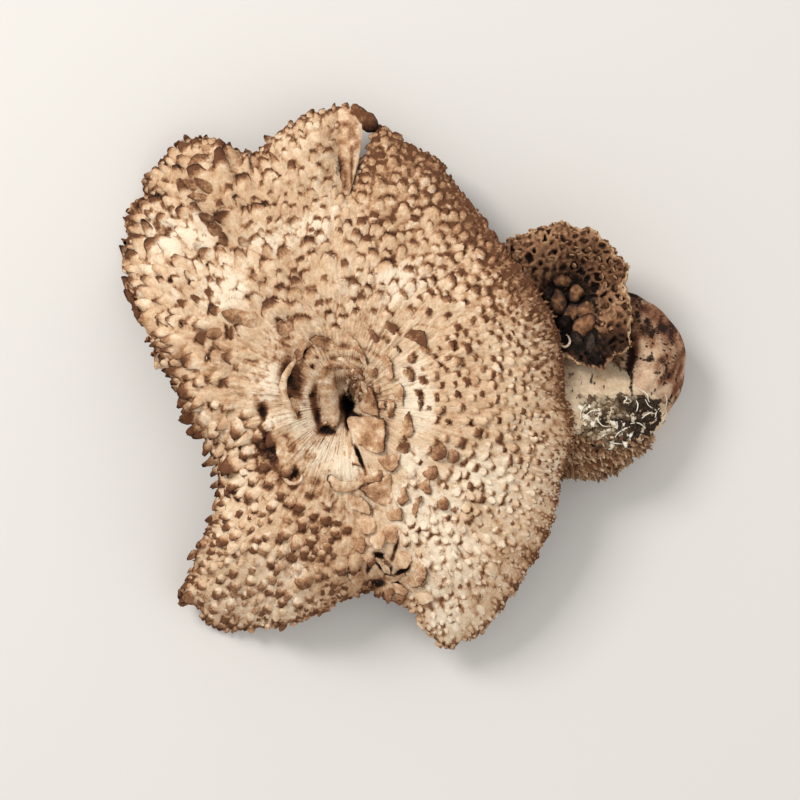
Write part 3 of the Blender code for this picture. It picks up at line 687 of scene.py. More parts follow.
def scaleForms(onSurface, spots, heading, sizes, random, form=scaleForm):
    # Tongues whose sides and roots sink into the flesh, and whose tips lift from it. A
    # random share of the width and length moves each point, so no two edges are alike. It
    # gives the points, the faces of one tongue, and for each point x, y, its share of the
    # way from root to tip, whether it is below, and whether it is at a side or the tip.
    stations, angles, count = form["stations"], form["angles"], len(spots)
    s, up = stations[None, :, None], np.sin(angles)[None, None]
    length, width, rise, point, curl, skew, thick = [v[:, None, None] for v in sizes]
    jitter = lambda size: form["uneven"] * size * (random.random((count, len(stations), len(angles))) - 0.5)
    half = 0.5 * width * scaleProfile(s, point) * (1 + jitter(0.34))
    across = half * np.cos(angles)[None, None] + skew * width * s**2
    centre = rise * s**1.2 + curl * rise * np.clip(s - 0.6, 0, 1) ** 2 * 5.0
    side = mix(-form["sideSunk"], centre - 0.6 * thick, smooth(*form["free"], s))
    crest = centre + thick * (0.3 + 0.9 * smooth(0.2, 0.75, s)) * (1 + jitter(0.7))
    crest = crest - form["crestSunk"] * (1 - smooth(0.0, 0.45, s))
    bottom = np.minimum(mix(-form["sideSunk"], centre - thick, smooth(0.50, 0.95, s)), side)
    z = side + np.where(up >= 0, (crest - side) * np.abs(up) ** 0.8, (bottom - side) * np.abs(up))
    along = (s - 0.45 + jitter(0.10) * smooth(0.4, 0.9, s)) * length
    body = np.stack(np.broadcast_arrays(along, across, z), axis=-1).reshape(count, -1, 3)
    length, width, rise, curl, skew = [v[:, 0] for v in (length, width, rise, curl, skew)]
    root = np.stack([-0.52 * length, 0 * length, 0 * length - form["rootSunk"]], axis=-1)
    tip = np.stack([0.565 * length, skew * width, rise + curl * rise * 0.8], axis=-1)
    local = np.concatenate([root, body, tip], axis=1)
    dx, dy = turnedBy(local[..., 0], local[..., 1], heading[:, None])
    x, y = spots[:, :1] + dx, spots[:, 1:] + dy
    base, normal = onSurface(x, y)
    points = base + normal * local[..., 2:3]
    share = np.r_[0.0, np.repeat(stations, len(angles)), 1.0]
    isUnder = np.r_[0, np.tile(np.sin(angles) < -0.1, len(stations)), 0]
    isSide = np.r_[0, np.tile(np.abs(np.sin(angles)) < 0.1, len(stations)), 1]
    share, isUnder, isSide = [v[None].repeat(count, 0) for v in (share, isUnder, isSide)]
    return points, tubeFaces(len(stations), len(angles)), x, y, share, isUnder, isSide


def leftEdge(x, y):
    # 1 towards the left edge, where the scales are long hooks, and 0 elsewhere
    angle = np.degrees(np.arctan2(y, x)) % 360
    return smooth(132, 150, angle) * smooth(236, 226, angle)


def capSpacing(x, y):
    # distance between scales: wide near the middle and on
    # the left, close along the rims and on the lower lobes
    depth = edgeDistance(capEdge, x, y)
    reach = np.hypot(x, y)
    inner = mix(0.0057, 0.0052, smooth(0.012, 0.042, reach))
    left = 1 + 0.08 * smooth(0.01, 0.05, -x) * smooth(-0.035, -0.015, y)
    left = left * (1 - 0.16 * lowerLeft(x, y))
    right = 1 - 0.20 * smooth(0.010, 0.030, x) - 0.22 * smooth(0.040, 0.065, x)
    right = right - 0.08 * smooth(-0.02, -0.05, y) * smooth(0.01, 0.03, x)
    varied = 1 + 0.30 * bumps(x, y, 0.0075, 17)
    atRim = mix(0.55, 0.66, leftEdge(x, y))
    return inner * left * right * varied * mix(atRim, 1.0, smooth(0.0005, 0.012, depth))


# x, y, heading in degrees, length, width, rise, point, curl, thickness, brown, darkness of its tip
plates = [
    # brown ones on the right
    (0.0312, -0.0158, -18, 0.0075, 0.0070, 0.0013, 0.3, 0.2, 0.0006, 0.85, 0.70),
    (0.0290, -0.0225, -40, 0.0065, 0.0060, 0.0012, 0.3, 0.2, 0.0006, 0.85, 0.70),
    (0.0367, -0.0175, -20, 0.0055, 0.0050, 0.0011, 0.2, 0.2, 0.0005, 0.80, 0.60),
    (0.0333, -0.0333, -50, 0.0060, 0.0050, 0.0012, 0.4, 0.2, 0.0005, 0.80, 0.60),
    # left: dark curled plates
    (-0.0315, 0.0290, 150, 0.0100, 0.0065, 0.0032, 0.7, -0.6, 0.0009, 0.60, 0.90),
    (-0.0374, 0.0305, 165, 0.0090, 0.0060, 0.0032, 0.6, -0.8, 0.0009, 0.65, 0.90),
    (-0.0444, 0.0249, 195, 0.0065, 0.0042, 0.0030, 0.3, -0.9, 0.0009, 0.80, 1.10),
    (-0.0199, 0.0262, 140, 0.0080, 0.0065, 0.0022, 0.5, -0.2, 0.0007, 0.70, 0.70),
    # lower notch
    (0.0077, -0.0403, -80, 0.0080, 0.0060, 0.0016, -0.5, 0.1, 0.0007, 0.45, 0.40),
    (0.0118, -0.0655, -100, 0.0052, 0.0034, 0.0018, 0.4, 0.4, 0.0007, 0.85, 1.10),
    (0.0152, -0.0655, -70, 0.0056, 0.0036, 0.0018, 0.3, 0.5, 0.0007, 0.80, 1.10),
    (0.0196, -0.0676, -95, 0.0056, 0.0034, 0.0018, 0.5, 0.4, 0.0007, 0.85, 1.20),
    (0.0072, -0.0652, -110, 0.0050, 0.0034, 0.0018, 0.4, 0.4, 0.0007, 0.80, 1.10),
    (0.0158, -0.0430, -82, 0.0080, 0.0050, 0.0016, 0.0, 0.1, 0.0007, 0.60, 0.50),
    # left edge: dark curled hooks
    (-0.0466, -0.0403, 165, 0.0065, 0.0036, 0.0026, 0.7, 0.6, 0.0008, 0.85, 1.10),
    (-0.0504, -0.0490, 160, 0.0060, 0.0034, 0.0026, 0.7, 0.6, 0.0008, 0.85, 1.10),
    (-0.0539, -0.0529, 165, 0.0050, 0.0030, 0.0024, 0.7, 0.6, 0.0007, 0.85, 1.10),
    (-0.0588, -0.0672, 190, 0.0055, 0.0034, 0.0024, 0.6, 0.6, 0.0007, 0.90, 1.20),
    (-0.0556, -0.0683, 200, 0.0065, 0.0044, 0.0026, 0.5, 0.2, 0.0008, 0.95, 1.20),
    (-0.0522, 0.0770, 168, 0.0066, 0.0036, 0.0026, 0.4, 0.4, 0.0008, 0.90, 1.10),
    (-0.0478, 0.0760, 150, 0.0070, 0.0040, 0.0026, 0.4, 0.4, 0.0008, 0.85, 1.10),
    (-0.0500, 0.0728, 175, 0.0062, 0.0030, 0.0022, 0.4, 0.2, 0.0007, 0.80, 1.10),
    (-0.0470, 0.0640, 120, 0.0080, 0.0044, 0.0030, 0.4, 0.3, 0.0009, 0.80, 1.00),
    (-0.0452, 0.0604, 100, 0.0075, 0.0048, 0.0028, 0.2, 0.2, 0.0009, 0.90, 1.10),
    (-0.0428, 0.0575, 70, 0.0060, 0.0036, 0.0022, 0.4, 0.2, 0.0008, 0.90, 1.10),
    (-0.0350, 0.0560, 110, 0.0050, 0.0034, 0.0018, 0.2, 0.2, 0.0007, 0.60, 0.90),
]


# direction of the raised edge in degrees, its lift and the other side's in mm, brown, darkness, outline in mm
slabs = [
    # round the hole, clockwise
    (
        10, 2.0, 0.2, 0.30, 0.9,
        [
            (0.2, -4.2), (6.0, -3.8), (14.2, -4.4), (14.4, -10.0), (14.2, -16.7), (9.1, -16.5), (3.6, -12.7),
            (1.5, -8.6)
        ]
    ),
    (35, 2.2, 0.4, 0.55, 0.8, [(8.6, 7.4), (10.6, 3.0), (11.8, -4.0), (7.5, -3.2), (4.2, -1.1), (6.6, 3.0)]),
    (
        -45, 1.6, 0.3, 0.42, 0.7,
        [(10.4, -17.3), (15.0, -17.6), (19.4, -16.2), (18.5, -21.6), (16.7, -23.4), (13.1, -21.6)]
    ),
    (-70, 1.6, 0.4, 0.75, 0.8, [(6.0, -24.9), (9.5, -23.4), (13.1, -22.0), (13.1, -26.0), (7.3, -27.2)]),
    (
        150, 1.7, 0.3, 0.45, 0.8,
        [(4.6, -28.7), (8.2, -27.4), (16.2, -23.4), (16.4, -29.0), (16.2, -34.5), (12.7, -35.0), (8.6, -32.3)]
    ),
    (
        130, 1.8, 0.2, 0.22, 1.0,
        [(-6.5, -25.2), (-5.2, -23.6), (-0.7, -26.5), (7.3, -26.7), (4.2, -29.6), (-3.0, -30.5)]
    ),
    (
        -5, 1.6, 0.0, 0.34, 0.6,
        [
            (-3.4, -9.1), (1.4, -10.0), (3.0, -14.0), (4.6, -18.6), (6.2, -21.6), (2.0, -20.6), (-1.4, -17.4),
            (-3.2, -13.6)
        ]
    ),
    (20, 1.3, 0.2, 0.75, 0.7, [(17.6, -15.3), (19.4, -13.1), (22.5, -12.7), (22.3, -16.7), (20.7, -16.7)]),
    (20, 1.3, 0.2, 0.62, 0.8, [(18.9, -10.4), (20.7, -4.2), (22.5, -1.5), (24.0, -8.2), (23.4, -11.5)]),
    (-20, 1.3, 0.2, 0.72, 0.7, [(25.2, -27.8), (29.6, -24.7), (30.0, -31.4), (27.8, -30.5)]),
    (-10, 1.3, 0.3, 0.55, 0.8, [(18.9, -27.0), (20.7, -28.3), (22.5, -32.7), (19.8, -35.0), (17.8, -32.7)]),
    (
        0, 1.3, 0.1, 0.24, 0.9,
        [(-0.3, -32.7), (1.5, -31.0), (6.0, -32.3), (8.6, -34.0), (9.5, -38.5), (6.0, -37.2), (2.4, -36.3)]
    ),
    (-30, 1.4, 0.2, 0.50, 0.6, [(13.5, -37.2), (19.8, -35.4), (20.2, -40.2), (15.3, -39.9)]),
    (-10, 1.2, 0.3, 0.62, 0.7, [(23.8, -32.3), (26.9, -31.4), (24.9, -39.0), (22.5, -38.6)]),
    (
        28, 1.9, 0.5, 0.30, 0.9,
        [(0.6, 25.7), (4.6, 22.2), (7.3, 17.3), (8.2, 11.9), (6.0, 15.0), (3.3, 19.5), (1.0, 23.0)]
    ),
    (
        100, 1.9, 0.2, 0.55, 1.0,
        [(-12.8, 22.6), (-9.2, 24.4), (-4.7, 23.0), (-0.9, 19.2), (-3.0, 17.9), (-7.4, 19.9), (-10.1, 20.9)]
    ),
    (
        10, 1.7, 0.3, 0.40, 0.9,
        [(12.2, 17.7), (14.9, 17.7), (16.9, 13.2), (16.9, 8.8), (14.9, 8.3), (13.8, 12.8)]
    ),
    (0, 1.4, 0.5, 0.72, 0.8, [(7.7, 11.9), (11.3, 13.2), (11.8, 10.6), (9.1, 8.8)]),
    (5, 1.5, 0.3, 0.32, 1.0, [(16.2, 6.5), (19.8, 7.4), (20.7, 3.9), (20.2, -0.6), (17.6, 1.6)]),
    (0, 1.2, 0.5, 0.58, 0.6, [(10.0, 8.3), (12.2, 6.8), (12.2, 3.6), (10.2, 4.6)]),
    (0, 1.2, 0.4, 0.55, 0.6, [(14.6, 2.4), (17.1, 1.2), (17.1, -4.2), (15.1, -4.4)]),
    (0, 1.1, 0.5, 0.62, 0.6, [(11.8, 2.1), (14.0, 1.2), (13.8, -1.5), (11.8, -1.0)]),
    (
        10, 1.5, 0.2, 0.85, 0.9,
        [(20.0, 23.9), (24.3, 26.4), (27.8, 25.3), (28.6, 22.5), (28.4, 19.0), (26.0, 20.4), (23.6, 22.2)]
    ),
    (
        20, 1.4, 0.3, 0.80, 0.9,
        [(12.2, 27.5), (14.9, 28.9), (18.0, 28.0), (18.5, 24.8), (16.9, 24.0), (15.0, 26.0)]
    ),
    (20, 1.2, 0.3, 0.70, 0.8, [(8.2, 26.6), (10.2, 25.8), (12.4, 22.0), (10.6, 21.4), (8.8, 23.4)]),
    # the notch between the two lower lobes: ribbons, a pale tongue and a shell with dark gaps between them
    (
        -90, 1.8, 0.5, 0.08, 0.5,
        [
            (18.2, -51.1), (20.7, -50.9), (23.3, -52.2), (23.0, -54.5), (21.6, -57.0), (19.0, -57.2),
            (17.8, -55.3)
        ]
    ),
    (
        -30, 2.1, 0.3, 0.42, 0.9,
        [
            (22.6, -54.9), (25.0, -53.4), (29.0, -57.5), (28.5, -60.6), (26.4, -63.2), (23.7, -64.2),
            (20.9, -62.1), (22.4, -59.1)
        ]
    ),
    (140, 2.0, 0.3, 0.40, 0.9, [(0.6, -58.7), (5.9, -58.1), (6.6, -62.1), (4.4, -65.1), (1.3, -61.3)]),
    (
        45, 2.4, 0.3, 0.12, 0.9,
        [
            (10.8, -53.0), (13.1, -53.9), (15.7, -56.8), (16.1, -59.1), (14.6, -59.4), (13.1, -57.5),
            (11.4, -55.1)
        ]
    ),
    (
        60, 2.2, 0.2, 0.18, 0.9,
        [(7.8, -53.7), (9.3, -54.5), (11.8, -56.8), (10.8, -59.1), (8.9, -59.4), (9.7, -57.2), (8.5, -55.6)]
    ),
    (
        90, 2.1, 0.2, 0.45, 1.0,
        [
            (13.9, -59.4), (16.9, -60.6), (21.3, -57.9), (21.6, -59.1), (18.4, -61.6), (16.1, -62.5),
            (14.2, -61.5)
        ]
    ),
    (-60, 1.6, 0.3, 0.38, 1.0, [(16.5, -62.4), (20.0, -63.0), (22.6, -65.9), (20.5, -67.4), (17.5, -66.2)]),
    (
        -70, 1.7, 0.3, 0.12, 0.6,
        [(8.5, -44.6), (11.2, -42.9), (14.2, -44.5), (13.9, -48.0), (12.6, -50.7), (9.7, -49.6)]
    ),
    (
        -100, 1.7, 0.1, 0.14, 1.0,
        [(24.5, -65.9), (27.9, -65.5), (31.5, -65.7), (30.9, -68.5), (26.8, -70.6), (25.2, -68.5)]
    ),
    (-60, 1.5, 0.2, 0.60, 0.9, [(2.8, -46.5), (6.2, -45.6), (8.0, -48.8), (6.0, -51.8), (3.4, -50.4)]),
    # the edges of the hollows on the left
    (
        170, 2.3, 0.4, 0.30, 0.7,
        [
            (-23.9, -12.0), (-22.2, -9.6), (-18.4, -12.6), (-17.2, -17.6), (-18.6, -21.4), (-22.6, -21.0),
            (-23.8, -16.0)
        ]
    ),
    (200, 2.0, 0.3, 0.40, 0.9, [(-16.6, 14.6), (-14.8, 16.2), (-12.6, 22.0), (-14.6, 22.6), (-17.4, 18.4)]),
    (190, 1.4, 0.2, 0.62, 1.0, [(-19.6, 2.6), (-17.8, 2.8), (-15.6, -1.2), (-16.6, -3.6), (-18.4, -1.6)]),
]


def scaleTable():
    # a dictionary of arrays with one value for each scale of the large cap
    random = np.random.default_rng(12)
    spots = scatter(capEdge, capSpacing, 5, 60000, 0.80)
    x, y = spots.T
    reach = np.hypot(x, y)
    bare = np.zeros(len(x), bool)
    for bx, by, bw, bl in cap["bare"]:
        bare |= ((x - bx) / bw) ** 2 + ((y - by) / bl) ** 2 < 1
    for *_, outline in slabs:
        mx, my = np.mean(outline, axis=0) * millimetre
        across = np.ptp(np.array(outline), axis=0).mean() * millimetre
        bare |= np.hypot(x - mx, y - my) < 0.42 * across + 0.0014
    smoothStrip = (np.abs(x + 0.0010) < 0.0030) & (y > 0.074) & (y < 0.094)
    spots = spots[(reach > 0.0085) & ~bare & ~smoothStrip]
    px, py, _, long, wide = np.array(plates)[:, :5].T
    away = np.hypot(spots[:, :1] - px, spots[:, 1:] - py) / (0.36 * (long + wide) / 2 + 0.0012)
    spots = spots[(away > 1).all(1)]
    x, y = spots.T
    depth = edgeDistance(capEdge, x, y)
    gap = capSpacing(x, y)
    count = len(spots)
    draw = lambda low, high: low + (high - low) * random.random(count)
    left = smooth(0.002, 0.045, -x) * smooth(-0.045, -0.020, y)
    oval = lowerLeft(x, y)
    thorny = oval * smooth(-0.015, -0.030, x) * smooth(0.0060, 0.0020, depth) * leftEdge(x, y)
    rim = smooth(0.010, 0.002, depth)
    paleSide = smooth(-0.03, -0.055, y) * smooth(0.015, 0.03, x) * smooth(0.002, 0.008, depth)
    platy = smooth(0.012, 0.022, x) * smooth(0.050, 0.038, x) * smooth(0.045, 0.02, np.abs(y))
    right = smooth(0.015, 0.035, x) * smooth(0.060, 0.030, y) * smooth(0.002, 0.008, depth)
    hooked = rim * leftEdge(x, y)
    raised = np.maximum(left, 0.3 * oval)
    gap = gap * draw(0.72, 1.32)
    lobe = lowerRight(x, y)
    broad = (draw(0, 1) < 0.22) * mix(0.4, 1.0, left)  # broad short ones among the rest
    rightRim = smooth(0.048, 0.060, x) * smooth(0.0150, 0.0100, depth) * smooth(-0.045, -0.015, y)
    plain = draw(0, 1) < 0.12 + 0.35 * paleSide  # with hardly any brown
    return {
        "spots": spots, "gap": gap, "left": left, "rim": rim,
        "heading": np.arctan2(y, x) + draw(-0.28, 0.28) * (1 + 0.8 * rim + 0.8 * left)
        + 0.45 * left * smooth(0.055, 0.020, y) + 0.25 * left * bumps(x, y, 0.014, 22) - 1.15 * thorny,
        "length": gap * mix(draw(0.95, 1.35), draw(1.15, 1.75), raised)
        * (1 + 0.45 * rightRim + 0.45 * hooked),
        "width": gap * mix(draw(0.58, 0.98), draw(1.00, 1.40), broad) * (1 - 0.40 * rightRim + 0.25 * hooked)
        * (1 + 0.12 * oval - 0.45 * thorny),
        "rise": gap * mix(draw(0.13, 0.27), draw(0.22, 0.46), raised) * (1 - 0.55 * paleSide + 0.30 * hooked)
        * (1 - 0.40 * oval * (1 - thorny)),
        "point": np.clip(
            mix(draw(-0.1, 0.7), draw(0.1, 1.0), raised) - 0.3 * right * (1 - lobe)
            + 0.3 * rightRim + 0.5 * lobe + 0.8 * thorny,
            -0.3, 1
        ),
        "curl": mix(draw(-0.5, 0.4), draw(-0.5, 0.8), raised) + 0.4 * hooked,
        "skew": draw(-0.18, 0.18),
        "thick": gap * mix(draw(0.05, 0.09), draw(0.06, 0.11), left),
        "start": mix(draw(0.50, 0.80), draw(0.42, 0.75), raised) - 0.08 * platy - 0.22 * oval,
        "strength": (draw(0.60, 1.05) * np.where(plain, 0.35, 1.0) + 0.15 * hooked)
        * (1 - 0.25 * lobe - 0.25 * lobe * rim - draw(-0.15, 0.42) * oval),
        "tipDark": mix(draw(0.1, 0.9), draw(0.4, 1.1), raised) * np.where(plain, 0.6, 1.0) + 0.2 * hooked
        + 0.3 * thorny,
        "own": draw(-0.25, 0.20) - 0.10 * paleSide,
    }


capScales = scaleTable()
print(f"{len(capScales['spots'])} scales on the large cap")


block = 4000  # how many points are compared with all the scales or seeds at a time


def nearestScales(x, y, table, number):
    # for each point, the indices of the nearest few scales, measured from each scale's middle
    sx, sy = table["spots"].T.astype(np.float32)
    found = []
    for first in range(0, len(x), block):
        px, py = [v[first:first + block, None].astype(np.float32) for v in (x, y)]
        away = (px - sx) ** 2 + (py - sy) ** 2
        found.append(np.argpartition(away, number, axis=1)[:, :number])
    return np.vstack(found)


def scaleRelief(x, y, table):
    # how far scales swell the flesh at each point, and the painted shade, brown and dark, that they
    # cast on it just past each tip and along each side. Along a scale, from 0 at its root to 1 at its
    # tip, the swelling climbs and falls away just before the tip.
    near = nearestScales(x, y, table, 5)
    dx, dy = x[:, None] - table["spots"][near, 0], y[:, None] - table["spots"][near, 1]
    cos, sin = np.cos(table["heading"][near]), np.sin(table["heading"][near])
    length, width, rise, point = (table[key][near] for key in ("length", "width", "rise", "point"))
    along = (dx * cos + dy * sin) / length + 0.45
    across = np.abs(dy * cos - dx * sin) / (0.5 * width)
    profile = scaleProfile(along, point)
    within = smooth(1.60, 0.40, across / np.maximum(profile, 0.15))
    climb = smooth(-0.60, 0.75, along) * smooth(1.02, 0.78, along)
    swell = 0.72 * rise * climb * within * np.clip(along + 0.35, 0, 1) * (
        1 - 0.35 * lowerRight(x, y) - 0.45 * lowerLeft(x, y)
    )[:, None]
    # painted shadow on the flesh just past each scale's tip
    past = np.exp(-(((along - 1.06) / 0.13) ** 2)) * smooth(1.15, 0.5, across)
    # painted shade on the flesh along each scale's sides
    beside = np.exp(-(((across / np.maximum(profile, 0.2) - 1.1) / 0.25) ** 2))
    beside = beside * smooth(0.35, 0.9, along) * (along < 1.05)
    strength, tipDark = table["strength"][near], table["tipDark"][near]
    brown = (0.75 * strength * past + 0.40 * strength * beside).max(1)
    dark = (0.75 * tipDark * past + 0.25 * tipDark * beside).max(1)
    return swell.max(1), brown, dark


def creases(x, y):
    # 1 along thin ragged creases and 0 off them: where a bent noise is near 0
    bentX, bentY = x + 0.0016 * bumps(x, y, 0.0050, 23), y + 0.0016 * bumps(x, y, 0.0050, 24)
    crease = np.clip(1 - 2.6 * np.abs(bumps(bentX, bentY, 0.0036, 25)), 0, 1) ** 2
    return crease * smooth(0.012, 0.030, np.hypot(x, y)) * (0.5 + 0.5 * smooth(0.02, -0.03, x))


def fleshRelief(x, y, depth):
    # lumps of three sizes, wrinkles that run outwards, and fine fibres round the bare middle
    away = smooth(0.0, 0.004, depth)
    angle, reach = np.arctan2(y, x), np.hypot(x, y)
    lumps = 0.00032 * bumps(x, y, 0.0030, 7) + 0.00026 * bumps(x, y, 0.0015, 8)
    ragged = creases(x, y)
    u, v = x / (reach + 1e-6), y / (reach + 1e-6)
    wrinkle = bumps(u * 0.030, v * 0.030 + reach * 0.1, 0.0012, 14) * bumps(x, y, 0.009, 15)
    fibre = bumps(u * 0.026, v * 0.026 + reach * 0.08, 0.0006, 16)
    fibre = fibre + 0.6 * bumps(u * 0.05, v * 0.05 + reach * 0.12, 0.0005, 20)
    bare = np.exp(-((reach / 0.034) ** 2))
    lobe = lowerRight(x, y)
    across = bumps(u * 0.060, v * 0.060 + reach * 0.14, 0.0009, 29) * bumps(x, y, 0.0050, 30)
    return away * (
        lumps - 0.0004 * ragged + (0.0005 + 0.0003 * lobe) * wrinkle
        + (0.00014 + 0.00026 * bare + 0.00012 * lobe) * fibre + 0.0007 * lobe * across
    )


def evened(values, reach):
    # a closed row of values, each the mean of those up to reach steps away, three times over
    for _ in range(3):
        around = np.concatenate([values[-reach:], values, values[:reach]])
        total = np.cumsum(np.r_[0, around])
        values = (total[2 * reach + 1:] - total[:-2 * reach - 1]) / (2 * reach + 1)
    return values


rimThickness = 0.0016  # least thickness of the cap where its rim rests on the floor


def makeCapFlesh():
    # a closed sheet: its top carries all the relief, and its underside is the smooth form
    around, rings, below = 680, 118, 20
    rim = resampled(capEdge, around)
    jag = 1 + (
        0.0009 * bumps(rim[:, 0], rim[:, 1], 0.0024, 31) + 0.0005 * bumps(rim[:, 0], rim[:, 1], 0.0009, 33)
    ) / 0.09
    rim = rim * jag[:, None]
    angle = np.unwrap(np.arctan2(rim[:, 1], rim[:, 0]))
    angle = np.maximum.accumulate(angle + np.arange(around) * 1e-6)
    reach = np.hypot(rim[:, 0], rim[:, 1])
    even = angle[0] + np.arange(around) * math.tau / around
    evenAngle = even + evened(angle - even, 90)
    evenReach = evened(reach, 60)

    def spokes(share):
        # points at each share of the way to the rim, evenly
        # spread near the middle and along the outline at the rim
        share = share[:, None]
        turn = mix(evenAngle[None], angle[None], smooth(0.30, 0.70, share))
        out = share * (evenReach + (reach - evenReach)[None] * share**3)
        return out * np.cos(turn), out * np.sin(turn)

    x, y = spokes(np.linspace(0, 1, rings + 1)[1:] ** 0.85)
    depth = edgeDistance(capEdge, x, y)
    swell, scaleShadeBrown, scaleShadeDark = [v.reshape(x.shape) for v in scaleRelief(x.ravel(), y.ravel(), capScales)]
    z = capHeight(x, y) + fleshRelief(x, y, depth) + swell * smooth(0, 0.002, depth)
    z = np.maximum(z, floorHeight + rimThickness)
    # how far each point lies below its neighbours, for painted shade in the recesses and a painted highlight
    # on the crests
    hollow = cavity(z, 3) / 0.00035
    bx, by = [v * 0.997 for v in spokes(np.linspace(1, 0, below + 1)[:-1])]
    bz = underHeight(bx, by)
    wall = np.stack([x[-1] * 1.003, y[-1] * 1.003, 0.5 * (z[-1] + bz[0])], axis=-1)
    origin = np.zeros(1)
    points, faces = closedSheet(
        np.array([[0.0, 0.0, capHeight(origin, origin)[0]]]), np.stack([x, y, z], axis=-1), wall,
        np.stack([bx, by, bz], axis=-1), np.array([[0.0, 0.0, underHeight(origin, origin)[0]]]),
    )
    px, py = points[:, 0], points[:, 1]
    beneath = len(points) - 1 - rings * around
    crease = creases(x, y) * smooth(-0.2, 0.5, bumps(x, y, 0.0048, 32))
    # painted shade: browner and darker in the recesses and creases, paler on the crests as a painted
    # highlight, plus the scales' painted shade
    brownTop = capBrown(x, y, depth) + scaleShadeBrown + 0.38 * np.clip(hollow, 0, 1)
    brownTop = brownTop - 0.25 * np.clip(-hollow, 0, 1) + 0.34 * crease
    darkTop = capDark(x, y) + scaleShadeDark + 0.25 * np.clip(hollow - 0.5, 0, 1) + 0.18 * crease
    brown = np.r_[0.8, brownTop.ravel(), 0.45 + 0.1 * bumps(px[-beneath:], py[-beneath:], 0.006, 41)]
    dark = np.r_[1.0, darkTop.ravel(), np.zeros(beneath)]
    meshPiece(
        "large_cap_flesh", points, faces, fleshMaterial, "large_mushroom",
        tones(brown, dark, capShade(px, py), 1.2)
    )


def cavity(z, reach):
    # how far each point of a grid of heights lies below the mean
    # of its neighbours; rows run outwards and columns around
    total, count = np.zeros_like(z), 0
    for step in range(1, reach + 1):
        for axis, way in ((0, step), (0, -step), (1, step), (1, -step)):
            moved = np.roll(z, way, axis=axis)
            if axis == 0:
                edge = slice(None, way) if way > 0 else slice(way, None)
                moved[edge] = z[edge]
            total, count = total + moved, count + 1
    return total / count - z


makeCapFlesh()


def makeCapScales():
    # brown from start on along a scale, with a dark tip, and
    # each scale a little paler or darker than its neighbours
    random = np.random.default_rng(13)
    inner = capScales["rim"] < 0.5
    for name, kept in (("large_cap_scales", inner), ("large_cap_rim_scales", ~inner)):
        part = {key: value[kept] for key, value in capScales.items()}
        sizes = [part[key] for key in ("length", "width", "rise", "point", "curl", "skew", "thick")]
        start, strength, tipDark, own = [
            part[key][:, None] for key in ("start", "strength", "tipDark", "own")
        ]
        points, faces, x, y, share, isUnder, isSide = scaleForms(
            onCap, part["spots"], part["heading"], sizes, random, {**scaleForm, "uneven": 1.2}
        )
        outer = share + 0.16 * isSide * smooth(0.2, 0.6, share)
        brown = 0.8 * capBrown(x, y, edgeDistance(capEdge, x, y))
        # the underside of each scale is painted browner and darker as shade
        brown = brown + strength * smooth(start, start + 0.35, outer) + 0.25 * isUnder
        dark = tipDark * smooth(0.78, 1.05, outer) + 0.35 * isUnder * smooth(0.4, 0.9, share)
        paint = tones(brown, dark, capShade(x, y) + own, 1.2)
        meshPiece(name, aboveFloor(points), faces, scaleMaterial, "large_mushroom", paint)


makeCapScales()


# Plates torn loose round the middle, in the lower notch and along the left edge

plateForm = {
    **scaleForm, "uneven": 0.6, "free": (0.25, 0.80),
    "stations": np.array([0.0, 0.07, 0.15, 0.25, 0.36, 0.48, 0.60, 0.71, 0.81, 0.89, 0.95, 0.985]),
    "angles": np.radians([0, 14, 35, 60, 90, 120, 145, 166, 180, 215, 270, 325]),
}


def makePlates():
    # scales of their own, each larger and with finer relief, brown towards their dark edges
    table = np.array(plates)
    x, y, turn, length, width, rise, point, curl, thick, brownest, darkest = table.T
    sizes = (length, width, rise, point, curl, 0 * x + 0.04, thick)
    points, faces, x, y, share, isUnder, isSide = scaleForms(
        onCap, table[:, :2], np.radians(turn), sizes, np.random.default_rng(19), plateForm
    )
    streak = bumps(x, y, 0.0016, 53)
    points[..., 2] += 0.00030 * bumps(x, y, 0.0020, 54) + 0.00025 * streak * (1 - isUnder)
    # the underside is painted browner and darker as shade
    brown = brownest[:, None] * (0.55 + 0.45 * smooth(0.1, 0.9, share)) + 0.15 * streak + 0.25 * isUnder
    edge = np.maximum(isSide * smooth(0.3, 0.6, share), smooth(0.86, 0.99, share))
    dark = darkest[:, None] * 0.65 * edge + 0.3 * isUnder
    meshPiece(
        "torn_plates", aboveFloor(points), faces, scaleMaterial, "large_mushroom",
        tones(brown, dark, 0.5, 1.2)
    )


makePlates()


def rounded(outline, count):
    # an outline in mm as evenly spaced points in m, with its corners a little worn and its edge uneven
    edge = resampled(np.array(outline) * millimetre, count)
    dx, dy = np.roll(edge, -1, axis=0).T
    if (edge[:, 0] * dy - edge[:, 1] * dx).sum() < 0:
        edge = edge[::-1]
    for _ in range(2):
        edge = (np.roll(edge, 1, axis=0) + 2 * edge + np.roll(edge, -1, axis=0)) / 4
    x, y = edge.T
    return edge + 0.00035 * np.stack([bumps(x, y, 0.0009, 103), bumps(x, y, 0.0009, 104)], axis=1)


slabForm = {
    "around": 44, "topRings": 6,
    # of the way to the outline: over the top, then back
    "shares": (0.22, 0.45, 0.66, 0.82, 0.93, 1.0, 1.0, 0.8, 0.45),
    "thin": 0.00065, "thick": 0.00105, "under": 0.0012,
}


